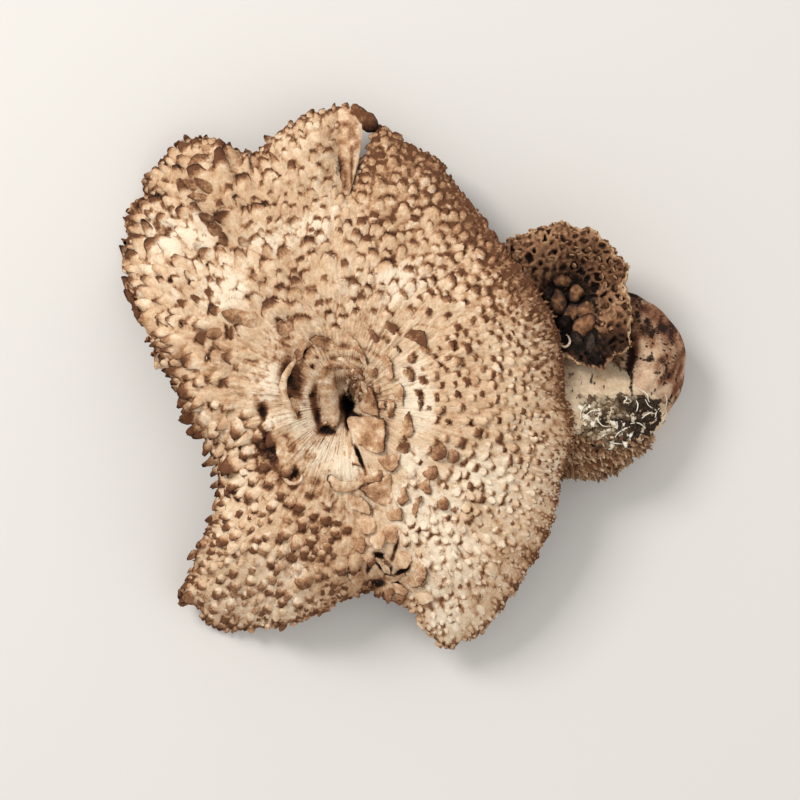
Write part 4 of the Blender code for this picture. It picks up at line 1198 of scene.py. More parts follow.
def makeSlabs():
    # thin slabs of torn skin, each with its own outline,
    # that lift towards one side and are darker along it
    around, shares = slabForm["around"], np.array(slabForm["shares"])
    turn, high, low, brownest, darkest = np.array([row[:5] for row in slabs]).T[..., None]
    high, low, turn = high * millimetre, low * millimetre, np.radians(turn)
    edges = np.stack([rounded(row[5], around) for row in slabs])
    middles = edges.mean(axis=1)[:, None]
    rings = middles[:, None] + shares[None, :, None, None] * (edges - middles)[:, None]
    x, y = np.moveaxis(np.concatenate([middles, rings.reshape(len(slabs), -1, 2), middles], axis=1), -1, 0)
    dx, dy = x - middles[..., 0], y - middles[..., 1]
    ahead = dx * np.cos(turn) + dy * np.sin(turn)
    ahead = ahead / np.abs(ahead).max(1, keepdims=True)
    lift = mix(low, high, smooth(-1, 1, ahead))
    share = np.r_[0, np.repeat(shares, around), 0][None]
    top = np.r_[1, np.repeat(np.arange(len(shares)) < slabForm["topRings"], around), 0][None]
    lumps = 0.00036 * bumps(x, y, 0.0024, 105) + 0.00020 * bumps(x, y, 0.0010, 106)
    thick = mix(slabForm["thin"], slabForm["thick"], smooth(0, 1, ahead))
    z = capSmoothHeight(x, y)[0] + lift
    z = z + np.where(top == 1, lumps - 0.00025 * share**6, -thick - slabForm["under"] * (1 - share))
    away = np.hypot(dx, dy)
    facing = smooth(0.1, 0.8, ahead / np.maximum(away / away.max(1, keepdims=True), 0.3))
    raisedRimDark = smooth(0.84, 1.0, share) * (0.30 + 0.70 * facing)
    grain, mottled = bumps(x, y, 0.0015, 107), bumps(x, y, 0.0034, 112)
    brown = 0.06 + brownest * (0.65 + 0.45 * smooth(-1, 1, ahead)) + 0.35 * raisedRimDark
    # the underside is painted browner and darker as shade
    brown = brown + 0.14 * grain + 0.22 * mottled + 0.3 * (1 - top)
    dark = darkest * raisedRimDark * 1.05 + 0.35 * (1 - top)
    points, paint = np.stack([x, y, z], axis=-1), tones(brown, dark, 0.55 + 0.25 * grain, 1.2)
    meshPiece("torn_slabs", points, tubeFaces(len(shares), around), scaleMaterial, "large_mushroom", paint)


makeSlabs()


# The strip beside the split, and its tip that has curled over and darkened

def sweep(path, half, thick, side, up, sides=14, relief=0.0, seed=1):
    # rings of a flat oval along a path: half the width along side, half the thickness along up
    angle = np.arange(sides) * math.tau / sides
    ring = half[:, None, None] * np.cos(angle)[None, :, None] * side[:, None]
    ring = ring + thick[:, None, None] * np.sin(angle)[None, :, None] * up[:, None]
    rings = path[:, None] + ring
    push = ring / (np.linalg.norm(ring, axis=-1, keepdims=True) + 1e-9)
    x, y, z = np.moveaxis(rings, -1, 0)
    wave = bumps(x + 0.8 * z, y - 0.6 * z, 0.0016, seed)
    rings = rings + relief * wave[..., None] * push
    return np.vstack([path[:1], rings.reshape(-1, 3), path[-1:]]), tubeFaces(len(path), sides)


def alongTable(table, count, blur=2):
    # rows of a table read at even steps along its first three columns, then smoothed
    table = np.array(table)
    length = np.r_[0, np.cumsum(np.linalg.norm(np.diff(table[:, :3], axis=0), axis=1))]
    at = np.linspace(0, length[-1], count)
    rows = np.stack([np.interp(at, length, column) for column in table.T], axis=1)
    for _ in range(blur):
        rows[1:-1] = (rows[:-2] + 2 * rows[1:-1] + rows[2:]) / 4
    return rows


tornStrip = [  # x, y, height of its middle above the cap, half width, half thickness
    (0.0004, 0.0735, -0.0012, 0.0010, 0.0008),
    (0.0003, 0.0775, -0.0004, 0.0022, 0.0012),
    (0.0001, 0.0812, -0.0002, 0.0034, 0.0015),
    (0.0002, 0.0861, -0.0002, 0.0046, 0.0017),
    (0.0006, 0.0913, 0.0000, 0.0050, 0.0018),
    (0.0009, 0.0973, 0.0002, 0.0050, 0.0018),
    (0.0008, 0.1015, 0.0002, 0.0048, 0.0018),
    (0.0004, 0.1045, -0.0004, 0.0044, 0.0016),
    (0.0002, 0.1062, -0.0014, 0.0034, 0.0012),
]
curledTip = [  # x, y, height above the cap, half width, half thickness, turn about its length in degrees
    (0.0022, 0.1046, 0.0000, 0.0018, 0.0010, 0),
    (0.0042, 0.1038, 0.0014, 0.0028, 0.0016, 15),
    (0.0064, 0.1018, 0.0016, 0.0033, 0.0017, -15),
    (0.0084, 0.0997, 0.0004, 0.0031, 0.0014, 25),
    (0.0098, 0.0984, -0.0014, 0.0024, 0.0011, 10),
    (0.0106, 0.0977, -0.0030, 0.0012, 0.0007, 20),
]


lips = [  # name, relief, brown, and rows of x, y, height above the cap, half width and half thickness in mm
    ("hole_stub", 0.00045, 0.52, [
        (1.6, 11.6, 0.8, 1.0, 0.9), (0.0, 14.0, 1.1, 1.3, 1.1), (-2.6, 15.2, 1.3, 1.6, 1.3),
        (-5.0, 14.2, 1.5, 2.1, 1.5),
        (-6.4, 11.4, 1.7, 2.7, 1.8), (-6.5, 8.0, 1.9, 3.1, 2.1), (-6.0, 4.6, 2.1, 3.3, 2.2),
        (-5.5, 1.4, 2.2, 3.3, 2.3),
        (-4.9, -2.0, 2.2, 3.2, 2.2), (-4.4, -4.8, 2.0, 2.9, 1.9), (-4.0, -6.6, 1.6, 2.2, 1.4),
        (-3.8, -7.4, 1.2, 1.2, 0.8),
    ]),
    ("hole_rim", 0.00040, 0.45, [
        (-3.6, 16.2, 0.9, 0.6, 0.6), (-0.6, 15.6, 1.1, 1.0, 0.9), (2.6, 13.6, 1.2, 1.1, 1.0),
        (5.2, 10.4, 1.2, 1.1, 1.0),
        (7.0, 6.6, 1.2, 1.2, 1.0), (8.0, 2.8, 1.0, 1.0, 0.9), (7.8, 0.0, 0.6, 0.6, 0.6),
    ]),
    ("raised_lip", 0.00030, 0.18, [
        (-17.2, 15.4, 0.8, 0.8, 0.6), (-19.4, 12.6, 1.8, 1.1, 0.9), (-21.2, 8.6, 2.4, 1.3, 1.0),
        (-21.3, 4.4, 2.6, 1.3, 1.1),
        (-20.2, 0.8, 2.4, 1.2, 1.0), (-18.4, -2.2, 1.8, 0.9, 0.8), (-16.8, -4.6, 1.0, 0.6, 0.5),
    ]),
    ("hollow_lip", 0.00030, 0.30, [
        (-21.4, -24.8, 0.8, 0.5, 0.5), (-19.8, -26.6, 1.0, 0.7, 0.6), (-17.4, -27.4, 1.1, 0.7, 0.6),
        (-15.2, -26.2, 1.0, 0.6, 0.6),
        (-14.4, -24.0, 0.8, 0.4, 0.4),
    ]),
]


def sideways(path):
    # level unit vectors across a path
    return unit(np.cross(np.gradient(path, axis=0), [0.0, 0.0, 1.0]))


def upwards(count):
    return np.tile([0.0, 0.0, 1.0], (count, 1))


def makeLips():
    # rounded folds of flesh round the hole and the hollows, swept along their paths, with painted shade low
    # on their flanks and at their sunk ends
    stations, sides = 90, 40
    for name, relief, brownest, rows in lips:
        rows = alongTable(np.array(rows) * millimetre, stations, 60)
        path = rows[:, :3].copy()
        path[:, 2] += capSmoothHeight(rows[:, 0], rows[:, 1])[0] - 0.5 * rows[:, 4]
        points, faces = sweep(
            path, rows[:, 3], rows[:, 4], sideways(path), upwards(stations), sides, relief, 108
        )
        x, y, z = points.T
        lumps = bumps(x, y, 0.0016, 109)
        crest = smooth(-0.0008, 0.0012, z - alongRings(path[:, 2], sides))
        ends = alongRings(np.sin(np.linspace(0, math.pi, stations)), sides)
        isStub = name == "hole_stub"
        upper = smooth(0.004, 0.010, y) if isStub else 0.5 + 0 * y  # the stub's upper end is the browner one
        # painted shade: browner low on the flanks and at the sunk ends, paler along the crest
        brown = brownest * (1.3 - 0.5 * crest) + 0.25 * upper * lumps + 0.2 * (1 - smooth(0, 0.3, ends))
        brown = brown + 0.20 * (upper - 0.5) * isStub
        # painted shade low on the flanks and where the ends sink into the flesh
        dark = 0.35 * (1 - crest) + 0.5 * upper * smooth(0.35, 0.9, lumps)
        dark = dark + 0.35 * (1 - smooth(0, 0.15, ends))
        meshPiece(
            name, points, faces, fleshMaterial, "large_mushroom", tones(brown, dark, 0.45 + 0.3 * lumps)
        )


makeLips()


crumbs = {
    "count": 150, "middle": (0.0034, 0.0066), "spread": (0.0036, 0.0062), "raised": 0.0003,
    "rows": 6, "sides": 9, "least": 0.0003, "most": 0.0009, "longer": 1.0, "flat": 0.8, "uneven": 0.5,
}


def makeCrumbs():
    # loose crumbs of brown flesh on the upper right side of the hole
    random = np.random.default_rng(110)
    turn, out = random.random(crumbs["count"]) * math.tau, np.sqrt(random.random(crumbs["count"]))
    x = crumbs["middle"][0] + crumbs["spread"][0] * out * np.cos(turn)
    y = crumbs["middle"][1] + crumbs["spread"][1] * out * np.sin(turn)
    points, faces, own = looseLumps(random, x, y, capHeight(x, y) + crumbs["raised"], crumbs)
    paint = tones(0.30 + 0.55 * own, 0.45 * own**3, own)
    meshPiece("hole_crumbs", points, faces, scaleMaterial, "large_mushroom", paint)


makeCrumbs()


def makeTornStrip():
    # a flat strip, smooth and stained at its root and scaly past it
    stations, sides = 90, 40
    rows = alongTable(tornStrip, stations, 8)
    base = capSmoothHeight(np.full(stations, -0.0015), rows[:, 1])[0]
    path = np.stack([rows[:, 0], rows[:, 1], base + rows[:, 2] - 0.0006], axis=1)
    side = np.tile([1.0, 0.0, 0.0], (stations, 1))
    points, faces = sweep(path, rows[:, 3], rows[:, 4], side, upwards(stations), sides)
    x, y, _ = points.T
    isTop = points[:, 2] > alongRings(path[:, 2], sides)
    scaly = smooth(0.088, 0.093, y)
    lumps = 0.00055 * bumps(x, y, 0.0024, 55) * scaly + 0.00030 * bumps(x, y * 0.25, 0.0009, 56)
    points[:, 2] += isTop * lumps
    slant = x + 0.0014 + 0.22 * (y - 0.082)
    stain = np.exp(-((slant / 0.0020) ** 2 + ((y - 0.082) / 0.0075) ** 2) ** 1.5)
    # a dark line painted along a crease near the root, as shade in it
    crease = np.exp(-(((x - 0.0022) / 0.0005) ** 2)) * (1 - scaly) * smooth(0.0735, 0.078, y)
    edge = smooth(0.55, 0.95, (x - alongRings(rows[:, 0], sides)) / alongRings(rows[:, 3], sides))
    brown = 0.42 + 0.40 * bumps(x, y, 0.0022, 57) * (0.4 + 0.6 * scaly) + 0.35 * stain + 0.5 * crease
    # the underside is painted browner as shade; the top is paler towards one edge
    brown = brown + 0.3 * (1 - isTop) - 0.35 * edge * isTop
    dark = 0.85 * stain * (0.6 + 0.6 * bumps(x * 2, y * 0.4, 0.0016, 58)) + 0.45 * crease
    dark = dark + 0.25 * scaly * smooth(0.2, 0.8, bumps(x, y, 0.0020, 60))
    meshPiece(
        "torn_strip", points, faces, scaleMaterial, "large_mushroom", tones(brown, dark, 0.45 + 0.1 * scaly)
    )


def makeCurledTip():
    stations, sides = 50, 30
    rows = alongTable(curledTip, stations, 8)
    base = capSmoothHeight(np.full(stations, -0.001), np.full(stations, 0.103))[0]
    path = np.stack([rows[:, 0], rows[:, 1], base + rows[:, 2]], axis=1)
    flat = sideways(path)
    lift = np.cross(flat, unit(np.gradient(path, axis=0)))
    turn = np.radians(rows[:, 5])[:, None]
    side, up = flat * np.cos(turn) - lift * np.sin(turn), lift * np.cos(turn) + flat * np.sin(turn)
    points, faces = sweep(path, rows[:, 3], rows[:, 4], side, up, sides, 0.0008, 59)
    share = alongRings(np.linspace(0, 1, stations), sides)
    rim = np.r_[0, np.tile(np.abs(np.cos(np.arange(sides) * math.tau / sides)) ** 6, stations), 0]
    dark = 0.34 + 0.4 * rim + 0.55 * smooth(0.5, 1.0, share)
    paint = tones(0.75 + 0.3 * share, dark, 0.5, 1.2)
    meshPiece("curled_tip", points, flipped(faces), scaleMaterial, "large_mushroom", paint)


makeTornStrip()
makeCurledTip()


# Teeth under the caps

teethPaint = {
    "cream": srgb(0.72, 0.60, 0.47), "pale": srgb(0.60, 0.47, 0.35), "tan": srgb(0.50, 0.37, 0.27),
    "brown": srgb(0.36, 0.25, 0.18), "dark": srgb(0.16, 0.10, 0.07), "fibreDepth": 0.0002,
}
teethMaterial = capMaterial("teeth", teethPaint)


def hexSpots(edge, spacing, jitter, seed):
    # a triangular pattern of points, each moved a little, inside an outline
    random = np.random.default_rng(seed)
    low, high = edge.min(0), edge.max(0)
    rows = np.arange(low[1], high[1], spacing * 0.866)
    columns = np.arange(low[0], high[0], spacing)
    x = columns[None] + 0.5 * spacing * (np.arange(len(rows))[:, None] % 2)
    x, y = x.ravel(), np.repeat(rows, len(columns))
    x = x + jitter * spacing * (random.random(x.size) - 0.5)
    y = y + jitter * spacing * (random.random(x.size) - 0.5)
    kept = insideOf(edge, x, y)
    return x[kept], y[kept]


def makeTeeth(name, under, x, y, length, radius, node):
    # slim cones that hang from the underside, bent a little, with their roots sunk in it
    random = np.random.default_rng(61)
    count, sides = len(x), 4
    base, normal = under(x, y)
    length = np.minimum(length, np.maximum(base[:, 2] - floorHeight - 2 * clearance, clearance))[:, None]
    down = unit(-normal + 0.30 * (random.random((count, 3)) - 0.5))
    bend = 0.25 * (random.random((count, 3)) - 0.5)
    shares, widths = np.array([-0.25, 0.15, 0.6]), np.array([1.15, 1.0, 0.66])
    angle = (np.arange(sides) * math.tau / sides)[None, :, None]
    side = unit(np.cross(down, [1.0, 0.0, 0.0]))
    flat = np.cos(angle) * side[:, None] + np.sin(angle) * np.cross(down, side)[:, None]
    s = shares[None, :, None]
    spine = base[:, None] + length[:, None] * (s * down[:, None] + s**2 * bend[:, None])
    rings = spine[:, :, None] + radius * widths[None, :, None, None] * flat[:, None]
    tip = base + length * (down + bend)
    root = base - down * 0.4 * length
    points = aboveFloor(np.concatenate([root[:, None], rings.reshape(count, -1, 3), tip[:, None]], axis=1))
    share = np.r_[0, np.repeat(np.clip(shares, 0, 1), sides), 1][None].repeat(count, 0)
    paint = tones(0.75 - 0.75 * share + random.random((count, 1)) * 0.3, 0.25 * (1 - share), 0.4)
    meshPiece(name, points, flipped(tubeFaces(len(shares), sides)), teethMaterial, node, paint)


def underCap(x, y):
    # points on the underside, with the upward normals of the smooth form above them
    points, normal = surfaceAt(lambda px, py: capSmoothHeight(px, py)[0], x, y, cap["slopeStep"])
    points[..., 2] = underHeight(x, y)
    return points, normal


teeth = {
    "spacing": 0.0020, "jitter": 0.5, "radius": 0.00055, "fromMiddle": 0.019, "fromEdge": 0.0022,
    # lengths of teeth; where the stem is
    "atEdge": 0.0020, "inside": 0.0050, "besideStem": 0.013, "stemStart": -0.02,
}
x, y = hexSpots(capEdge, teeth["spacing"], teeth["jitter"], 62)
depth = edgeDistance(capEdge, x, y)
onStem = (np.abs(y) < teeth["besideStem"]) & (x > teeth["stemStart"])
kept = (np.hypot(x, y) > teeth["fromMiddle"]) & (depth > teeth["fromEdge"]) & ~onStem
x, y, depth = x[kept], y[kept], depth[kept]
length = mix(teeth["atEdge"], teeth["inside"], smooth(0.0, 0.016, depth))
length = length * (0.75 + 0.5 * np.random.default_rng(63).random(len(x)))
makeTeeth("large_cap_teeth", underCap, x, y, length, teeth["radius"], "large_mushroom")


# Stems

stemPaint = {
    "cream": srgb(0.92, 0.84, 0.73), "pale": srgb(0.79, 0.69, 0.57), "tan": srgb(0.62, 0.49, 0.37),
    "brown": srgb(0.44, 0.29, 0.19), "dark": srgb(0.15, 0.09, 0.06), "fibreDepth": 0.0008,
}
smallStemPaint = {
    "cream": srgb(0.86, 0.75, 0.64), "pale": srgb(0.73, 0.60, 0.49), "tan": srgb(0.60, 0.43, 0.32),
    "brown": srgb(0.42, 0.26, 0.18), "dark": srgb(0.14, 0.08, 0.05), "fibreDepth": 0.0008,
}
stemMaterial = capMaterial("stemFlesh", stemPaint)
smallStemMaterial = capMaterial("smallStemFlesh", smallStemPaint)

# x, y, height of the middle, half width, half height: the rows of its solid, with a finer end to the foot
largeStem = [
    (-0.0120, 0.0010, 0.0120, 0.0135, 0.0132),
    (0.0060, 0.0010, 0.0122, 0.0172, 0.0136),
    (0.0280, -0.0008, 0.0114, 0.0140, 0.0126),
    (0.0500, -0.0025, 0.0120, 0.0160, 0.0130),
    (0.0700, -0.0028, 0.0130, 0.0218, 0.0140),
    (0.0860, -0.0020, 0.0132, 0.0240, 0.0142),
    (0.0940, -0.0014, 0.0132, 0.0208, 0.0138),
    (0.1000, 0.0002, 0.0130, 0.0168, 0.0132),
    (0.1045, 0.0020, 0.0126, 0.0126, 0.0124),
]
smallStem = [
    (0.1048, 0.0030, 0.0118, 0.0108, 0.0122),
    (0.1080, 0.0106, 0.0126, 0.0124, 0.0134),
    (0.1082, 0.0185, 0.0130, 0.0128, 0.0136),
    (0.1032, 0.0262, 0.0122, 0.0120, 0.0126),
    (0.0932, 0.0312, 0.0100, 0.0108, 0.0100),
    (0.0830, 0.0360, 0.0072, 0.0095, 0.0070),
    (0.0775, 0.0370, 0.0058, 0.0080, 0.0054),
]


def makeStem(name, table, stations, sides, material, node, brownAt, roughAt):
    # an oval section along the stem, rounded off past both
    # ends, wrinkled along its length and flat on the floor
    rows = alongTable(table, stations, 30)
    centre, half = rows[:, :3], rows[:, 3:]
    ahead = unit(np.gradient(centre, axis=0) * [1, 1, 0])
    turn = np.linspace(0, math.pi / 2, 16)[1:-1]
    past, size = 0.74 * np.sin(turn), np.cos(turn) ** 0.8
    first = centre[0] - past[::-1, None] * half[0, 0] * ahead[0]
    last = centre[-1] + past[:, None] * half[-1, 0] * ahead[-1]
    centre = np.vstack([first, centre, last])
    half = np.vstack([size[::-1, None] * half[:1], half, size[:, None] * half[-1:]])
    ahead = np.vstack([ahead[:1].repeat(len(turn), 0), ahead, ahead[-1:].repeat(len(turn), 0)])
    arc = np.r_[0, np.cumsum(np.linalg.norm(np.diff(centre, axis=0), axis=1))][:, None]
    angle = (np.arange(sides) * math.tau / sides)[None]
    side = np.stack([-ahead[:, 1], ahead[:, 0], 0 * ahead[:, 0]], axis=1)[:, None]
    up = np.array([0.0, 0.0, 1.0])
    cos, sin = np.cos(angle) + 0 * arc, np.sin(angle) + 0 * arc
    u, v = 0.014 * cos + 0.25 * arc, 0.014 * sin - 0.21 * arc
    rough = roughAt(centre[:, None, 0] + 0 * u, centre[:, None, 1] + half[:, None, 0] * cos * side[..., 1])
    relief = 0.0010 * bumps(u, v, 0.0080, 71) + 0.0006 * bumps(u, v, 0.0032, 72)
    relief = relief + 0.0004 * bumps(u, v, 0.0014, 73)
    relief = relief + rough * (0.0012 * bumps(u, v, 0.0036, 74) + 0.0007 * bumps(u, v, 0.0015, 77))
    outwards = cos[..., None] * side + sin[..., None] * up
    rings = centre[:, None] + half[:, None, :1] * cos[..., None] * side
    rings = rings + half[:, None, 1:] * sin[..., None] * up
    rings = rings + relief[..., None] * outwards * np.minimum(1, half[:, None, :1] / 0.006)
    x, y, z = np.moveaxis(rings, -1, 0)
    inHole = np.hypot(x - 0.001, y - 0.001) < 0.016  # here the stem stays below the cap's surface
    rings[..., 2] = np.where(inHole, np.minimum(z, capHeight(x, y) - 0.0012), z)
    points = np.vstack(
        [centre[:1] - ahead[:1] * 0.0004, rings.reshape(-1, 3), centre[-1:] + ahead[-1:] * 0.0004]
    )
    points[:, 2] = np.maximum(points[:, 2], floorHeight)
    paint = tones(*brownAt(*points.T, np.r_[0, relief.ravel(), 0]))
    meshPiece(name, points, tubeFaces(len(centre), sides), material, node, paint)
    return rings.reshape(-1, 3), outwards.reshape(-1, 3)


def specks(x, y, z):
    # scattered dark specks, closer together in some patches than in others
    fine = smooth(0.48, 0.72, bumps(x, y + 0.7 * z, 0.0010, 114))
    fine = fine * smooth(-0.5, 0.3, bumps(x, y, 0.0050, 115))
    return np.maximum(fine, 0.8 * smooth(0.62, 0.85, bumps(x, y + 0.7 * z, 0.0018, 117)))


def stemGapShade(x, y):
    # painted shade: the dark line where the small stem stands against the large one
    middle = 0.0990 + 0.0020 * smooth(0.034, 0.014, y) + 0.0004 * bumps(y, y, 0.0030, 116)
    return 0.85 * np.exp(-(((x - middle) / 0.0006) ** 2)) * smooth(-0.003, 0.001, y)


def farSide(x, y):
    # 1 on the brown, bristly lobe of the large stem's foot
    return smooth(-0.0085, -0.0150, y) * smooth(0.060, 0.078, x)


def largeStemBrown(x, y, z, relief):
    # the foot is brown and bristly on its far side, and pale with dark specks next to the small mushroom
    far = farSide(x, y)
    patches = 0.5 + 0.5 * bumps(x, y + z, 0.006, 75)
    brown = 0.02 + far * (0.80 + 0.3 * patches) + 0.25 * smooth(0.55, 0.9, patches)
    # painted shade and highlight: browner where the relief dips and paler where it rises
    brown = brown - relief * (60 + 160 * far)
    dark = 0.20 * patches + 0.45 * far * (1 - patches)
    # painted shade in the dips of the relief
    dark = dark + 0.35 * smooth(0.0002, -0.0012, relief) * (0.4 + 0.6 * far)
    dark = dark + 0.90 * specks(x, y, z) * smooth(0.060, 0.072, x) + stemGapShade(x, y)
    return brown, dark, 0.18 + 0.25 * patches + 0.3 * far


def smallStemBrown(x, y, z, relief):
    # pale in its middle, reddish brown along its outer side, and darkest near the cap
    patches = 0.5 + 0.5 * bumps(x + 0.3 * z, y + z, 0.0050, 76)
    outer = smooth(0.1110, 0.1175, x) + smooth(0.019, 0.028, y)
    middle = np.exp(-(((x - 0.1055) / 0.0060) ** 2 + ((y - 0.0080) / 0.0120) ** 2))
    blotch = np.exp(-(((x - 0.1075) / 0.0035) ** 2 + ((y - 0.0265) / 0.0030) ** 2))
    streaks = bumps(x - 0.4 * y, 0.35 * (y + 0.4 * x), 0.0014, 78)
    # painted shade and highlight: browner where the relief dips and paler where it rises
    brown = 0.44 + 0.26 * outer - 0.30 * middle + 0.40 * (patches - 0.4) + 0.45 * streaks - relief * 240
    brown = brown * smooth(0.0975, 0.1005, x + 0 * y)
    above = smooth(0.012, 0.022, y)
    dark = 0.10 + 0.34 * smooth(0.40, 0.85, patches) + 0.5 * blotch * (1 + streaks)
    # painted shade in the dips of the relief
    dark = dark + 0.40 * smooth(0.0002, -0.0012, relief)
    dark = dark + 0.9 * specks(x, y, z) + stemGapShade(x, y) + (0.15 + 0.25 * above) * smooth(0.1, 0.8, streaks)
    return brown, dark, 0.45 - 0.25 * middle + 0.2 * patches


largeStemSkin = makeStem(
    "large_stem", largeStem, 170, 110, stemMaterial, "large_mushroom", largeStemBrown, farSide
)
makeStem(
    "small_stem", smallStem, 110, 96, smallStemMaterial, "small_mushroom", smallStemBrown, 
    lambda x, y: 0.6 + 0 * x,
)


bristles = {"count": 560, "lean": (0.7, -0.5, 0.0), "strewn": 1.5, "rows": 5, "sides": 7}


def makeBristles():
    # flat flakes and short clumps on the brown lobe, most of them lying towards its end, with paler tips
    random = np.random.default_rng(79)
    places, outwards = largeStemSkin
    wanted = (farSide(places[:, 0], places[:, 1]) > 0.25) & (places[:, 2] > 0.004) & (outwards[:, 2] > -0.2)
    count = bristles["count"]
    picked = random.choice(np.flatnonzero(wanted), count, replace=False)
    middle, out = places[picked], outwards[picked]
    lean = unit(
        0.35 * out + np.array(bristles["lean"]) + bristles["strewn"] * (random.random(out.shape) - 0.5)
    )
    side = unit(np.cross(lean, [0.0, 0.0, 1.0]))
    balls, faces = lumpForms(count, bristles["rows"], bristles["sides"])
    u, v, w = np.moveaxis(balls, -1, 0)
    tip = (w + 1) / 2
    own = random.random((count, 1))
    long, flat = 0.0012 + 0.0020 * own, 0.00035 + 0.0004 * own
    wide = (0.00045 + 0.00065 * random.random(own.shape)) * (1.25 - 0.55 * tip)
    points = (middle + 0.0003 * lean)[:, None] + (w * long)[..., None] * lean[:, None]
    points = points + (u * wide)[..., None] * side[:, None]
    points = points + (v * flat)[..., None] * np.cross(lean, side)[:, None]
    shade = random.random((count, 1))
    paint = tones(0.72 + 0.5 * shade - 0.50 * tip, 0.8 * (1 - 0.8 * tip) * shade**2, 0.6)
    meshPiece("stem_bristles", aboveFloor(points), faces, stemMaterial, "large_mushroom", paint)


makeBristles()


# The small cap: a funnel with a wavy rim

smallPaint = {
    "cream": srgb(0.88, 0.76, 0.60), "pale": srgb(0.69, 0.53, 0.40), "tan": srgb(0.50, 0.35, 0.245),
    "brown": srgb(0.28, 0.175, 0.11), "dark": srgb(0.08, 0.04, 0.025), "fibreDepth": 0.0012,
}
smallMaterial = capMaterial("smallCap", smallPaint)
small = {
    "middle": (0.0765, 0.0370),
    "angles": (-88, -61, -40, -24, 7, 21, 48, 82, 112, 140, 175, 215, 250),
    "radii": (
        0.0200, 0.0272, 0.0278, 0.0260, 0.0208, 0.0240, 0.0252, 0.0264, 0.0270, 0.0280, 0.0264, 0.0230, 0.0200
    ),
    "reach": (0.0, 0.0045, 0.0080, 0.0115, 0.0170, 0.0220, 0.0270, 0.0300),
    "heights": (0.0142, 0.0148, 0.0172, 0.0235, 0.0290, 0.0310, 0.0285, 0.0255),
    "tilt": 0.13, "flesh": 0.0030, "fleshAtStem": 0.0060, "slopeStep": 0.0004, "within": 0.031,
}
smallMiddle = np.array(small["middle"])
fineReach = np.linspace(0, small["within"], 200)
fineHeights = np.interp(fineReach, small["reach"], small["heights"])
for _ in range(60):
    fineHeights[1:-1] = (fineHeights[:-2] + 2 * fineHeights[1:-1] + fineHeights[2:]) / 4


def smallHeight(x, y):
    # the funnel's profile turned round its middle and tilted, with waves along the rim
    dx, dy = x - smallMiddle[0], y - smallMiddle[1]
    reach, angle = np.hypot(dx, dy), np.arctan2(dy, dx)
    z = np.interp(reach, fineReach, fineHeights) + small["tilt"] * dx
    rim = smooth(0.010, 0.024, reach)
    z = z + rim * (0.0009 * np.sin(5 * angle + 1.0) + 0.0006 * np.sin(9 * angle + 2.2))
    return z + 0.0005 * bumps(x, y, 0.0050, 81) + 0.0003 * bumps(x, y, 0.0022, 82)


def onSmallCap(x, y):
    return surfaceAt(smallHeight, x, y, small["slopeStep"])


def smallRim(angle):
    # how far the rim is from the middle in each direction, with three sizes of waves
    reach = np.interp(angle, np.radians(small["angles"]), small["radii"], period=math.tau)
    reach = reach + 0.0006 * np.sin(11 * angle + 2) + 0.0005 * np.sin(17 * angle)
    return reach + 0.0003 * np.sin(41 * angle + 1)


def underSmallCap(x, y):
    points, normal = onSmallCap(x, y)
    reach = np.hypot(x - smallMiddle[0], y - smallMiddle[1])
    depth = mix(small["fleshAtStem"], small["flesh"], np.clip(reach / 0.012, 0, 1))
    depth = depth * mix(1.0, 0.55, smooth(0.016, 0.026, reach))
    return points - normal * depth[..., None], normal


angle = np.arange(120) * math.tau / 120
smallCircle = smallMiddle + small["within"] * np.stack([np.cos(angle), np.sin(angle)], axis=1)


def smallSpacing(x, y):
    # distance between the seeds of the net's cells: closer along the rim
    return 0.0032 - 0.0008 * smooth(0.020, 0.027, np.hypot(x - smallMiddle[0], y - smallMiddle[1]))


smallSeeds = scatter(smallCircle, smallSpacing, 87, 14000)


def smallNet(x, y):
    # cells round scattered seeds, bent by noise: 1 on the net between two cells, 1 in the middle of a cell,
    # and each cell's own share from 0 to 1. The net is where the two nearest seeds are about equally far.
    bentX = x + 0.0009 * bumps(x, y, 0.0021, 83) + 0.0003 * bumps(x, y, 0.0008, 88)
    bentY = y + 0.0009 * bumps(x, y, 0.0021, 84) + 0.0003 * bumps(x, y, 0.0008, 89)
    net, well, own = [], [], []
    for first in range(0, len(x), block):
        part = slice(first, first + block)
        away = np.hypot(bentX[part, None] - smallSeeds[:, 0], bentY[part, None] - smallSeeds[:, 1])
        near = np.argpartition(away, 2, axis=1)[:, :2]
        both = np.take_along_axis(away, near, axis=1)
        nearest = near[np.arange(len(near)), both.argmin(1)]
        low, high = both.min(1), both.max(1)
        share = hashed(nearest * 1.7, nearest * 0.3, 5)
        net.append(np.exp(-(((high - low) / 0.00130) ** 2)))
        well.append(
            smooth(mix(0.30, 0.60, share), 0.10, low / (low + high)) * smooth(0.0006, 0.0016, high - low)
        )
        own.append(share)
    return np.concatenate(net), np.concatenate(well), np.concatenate(own)


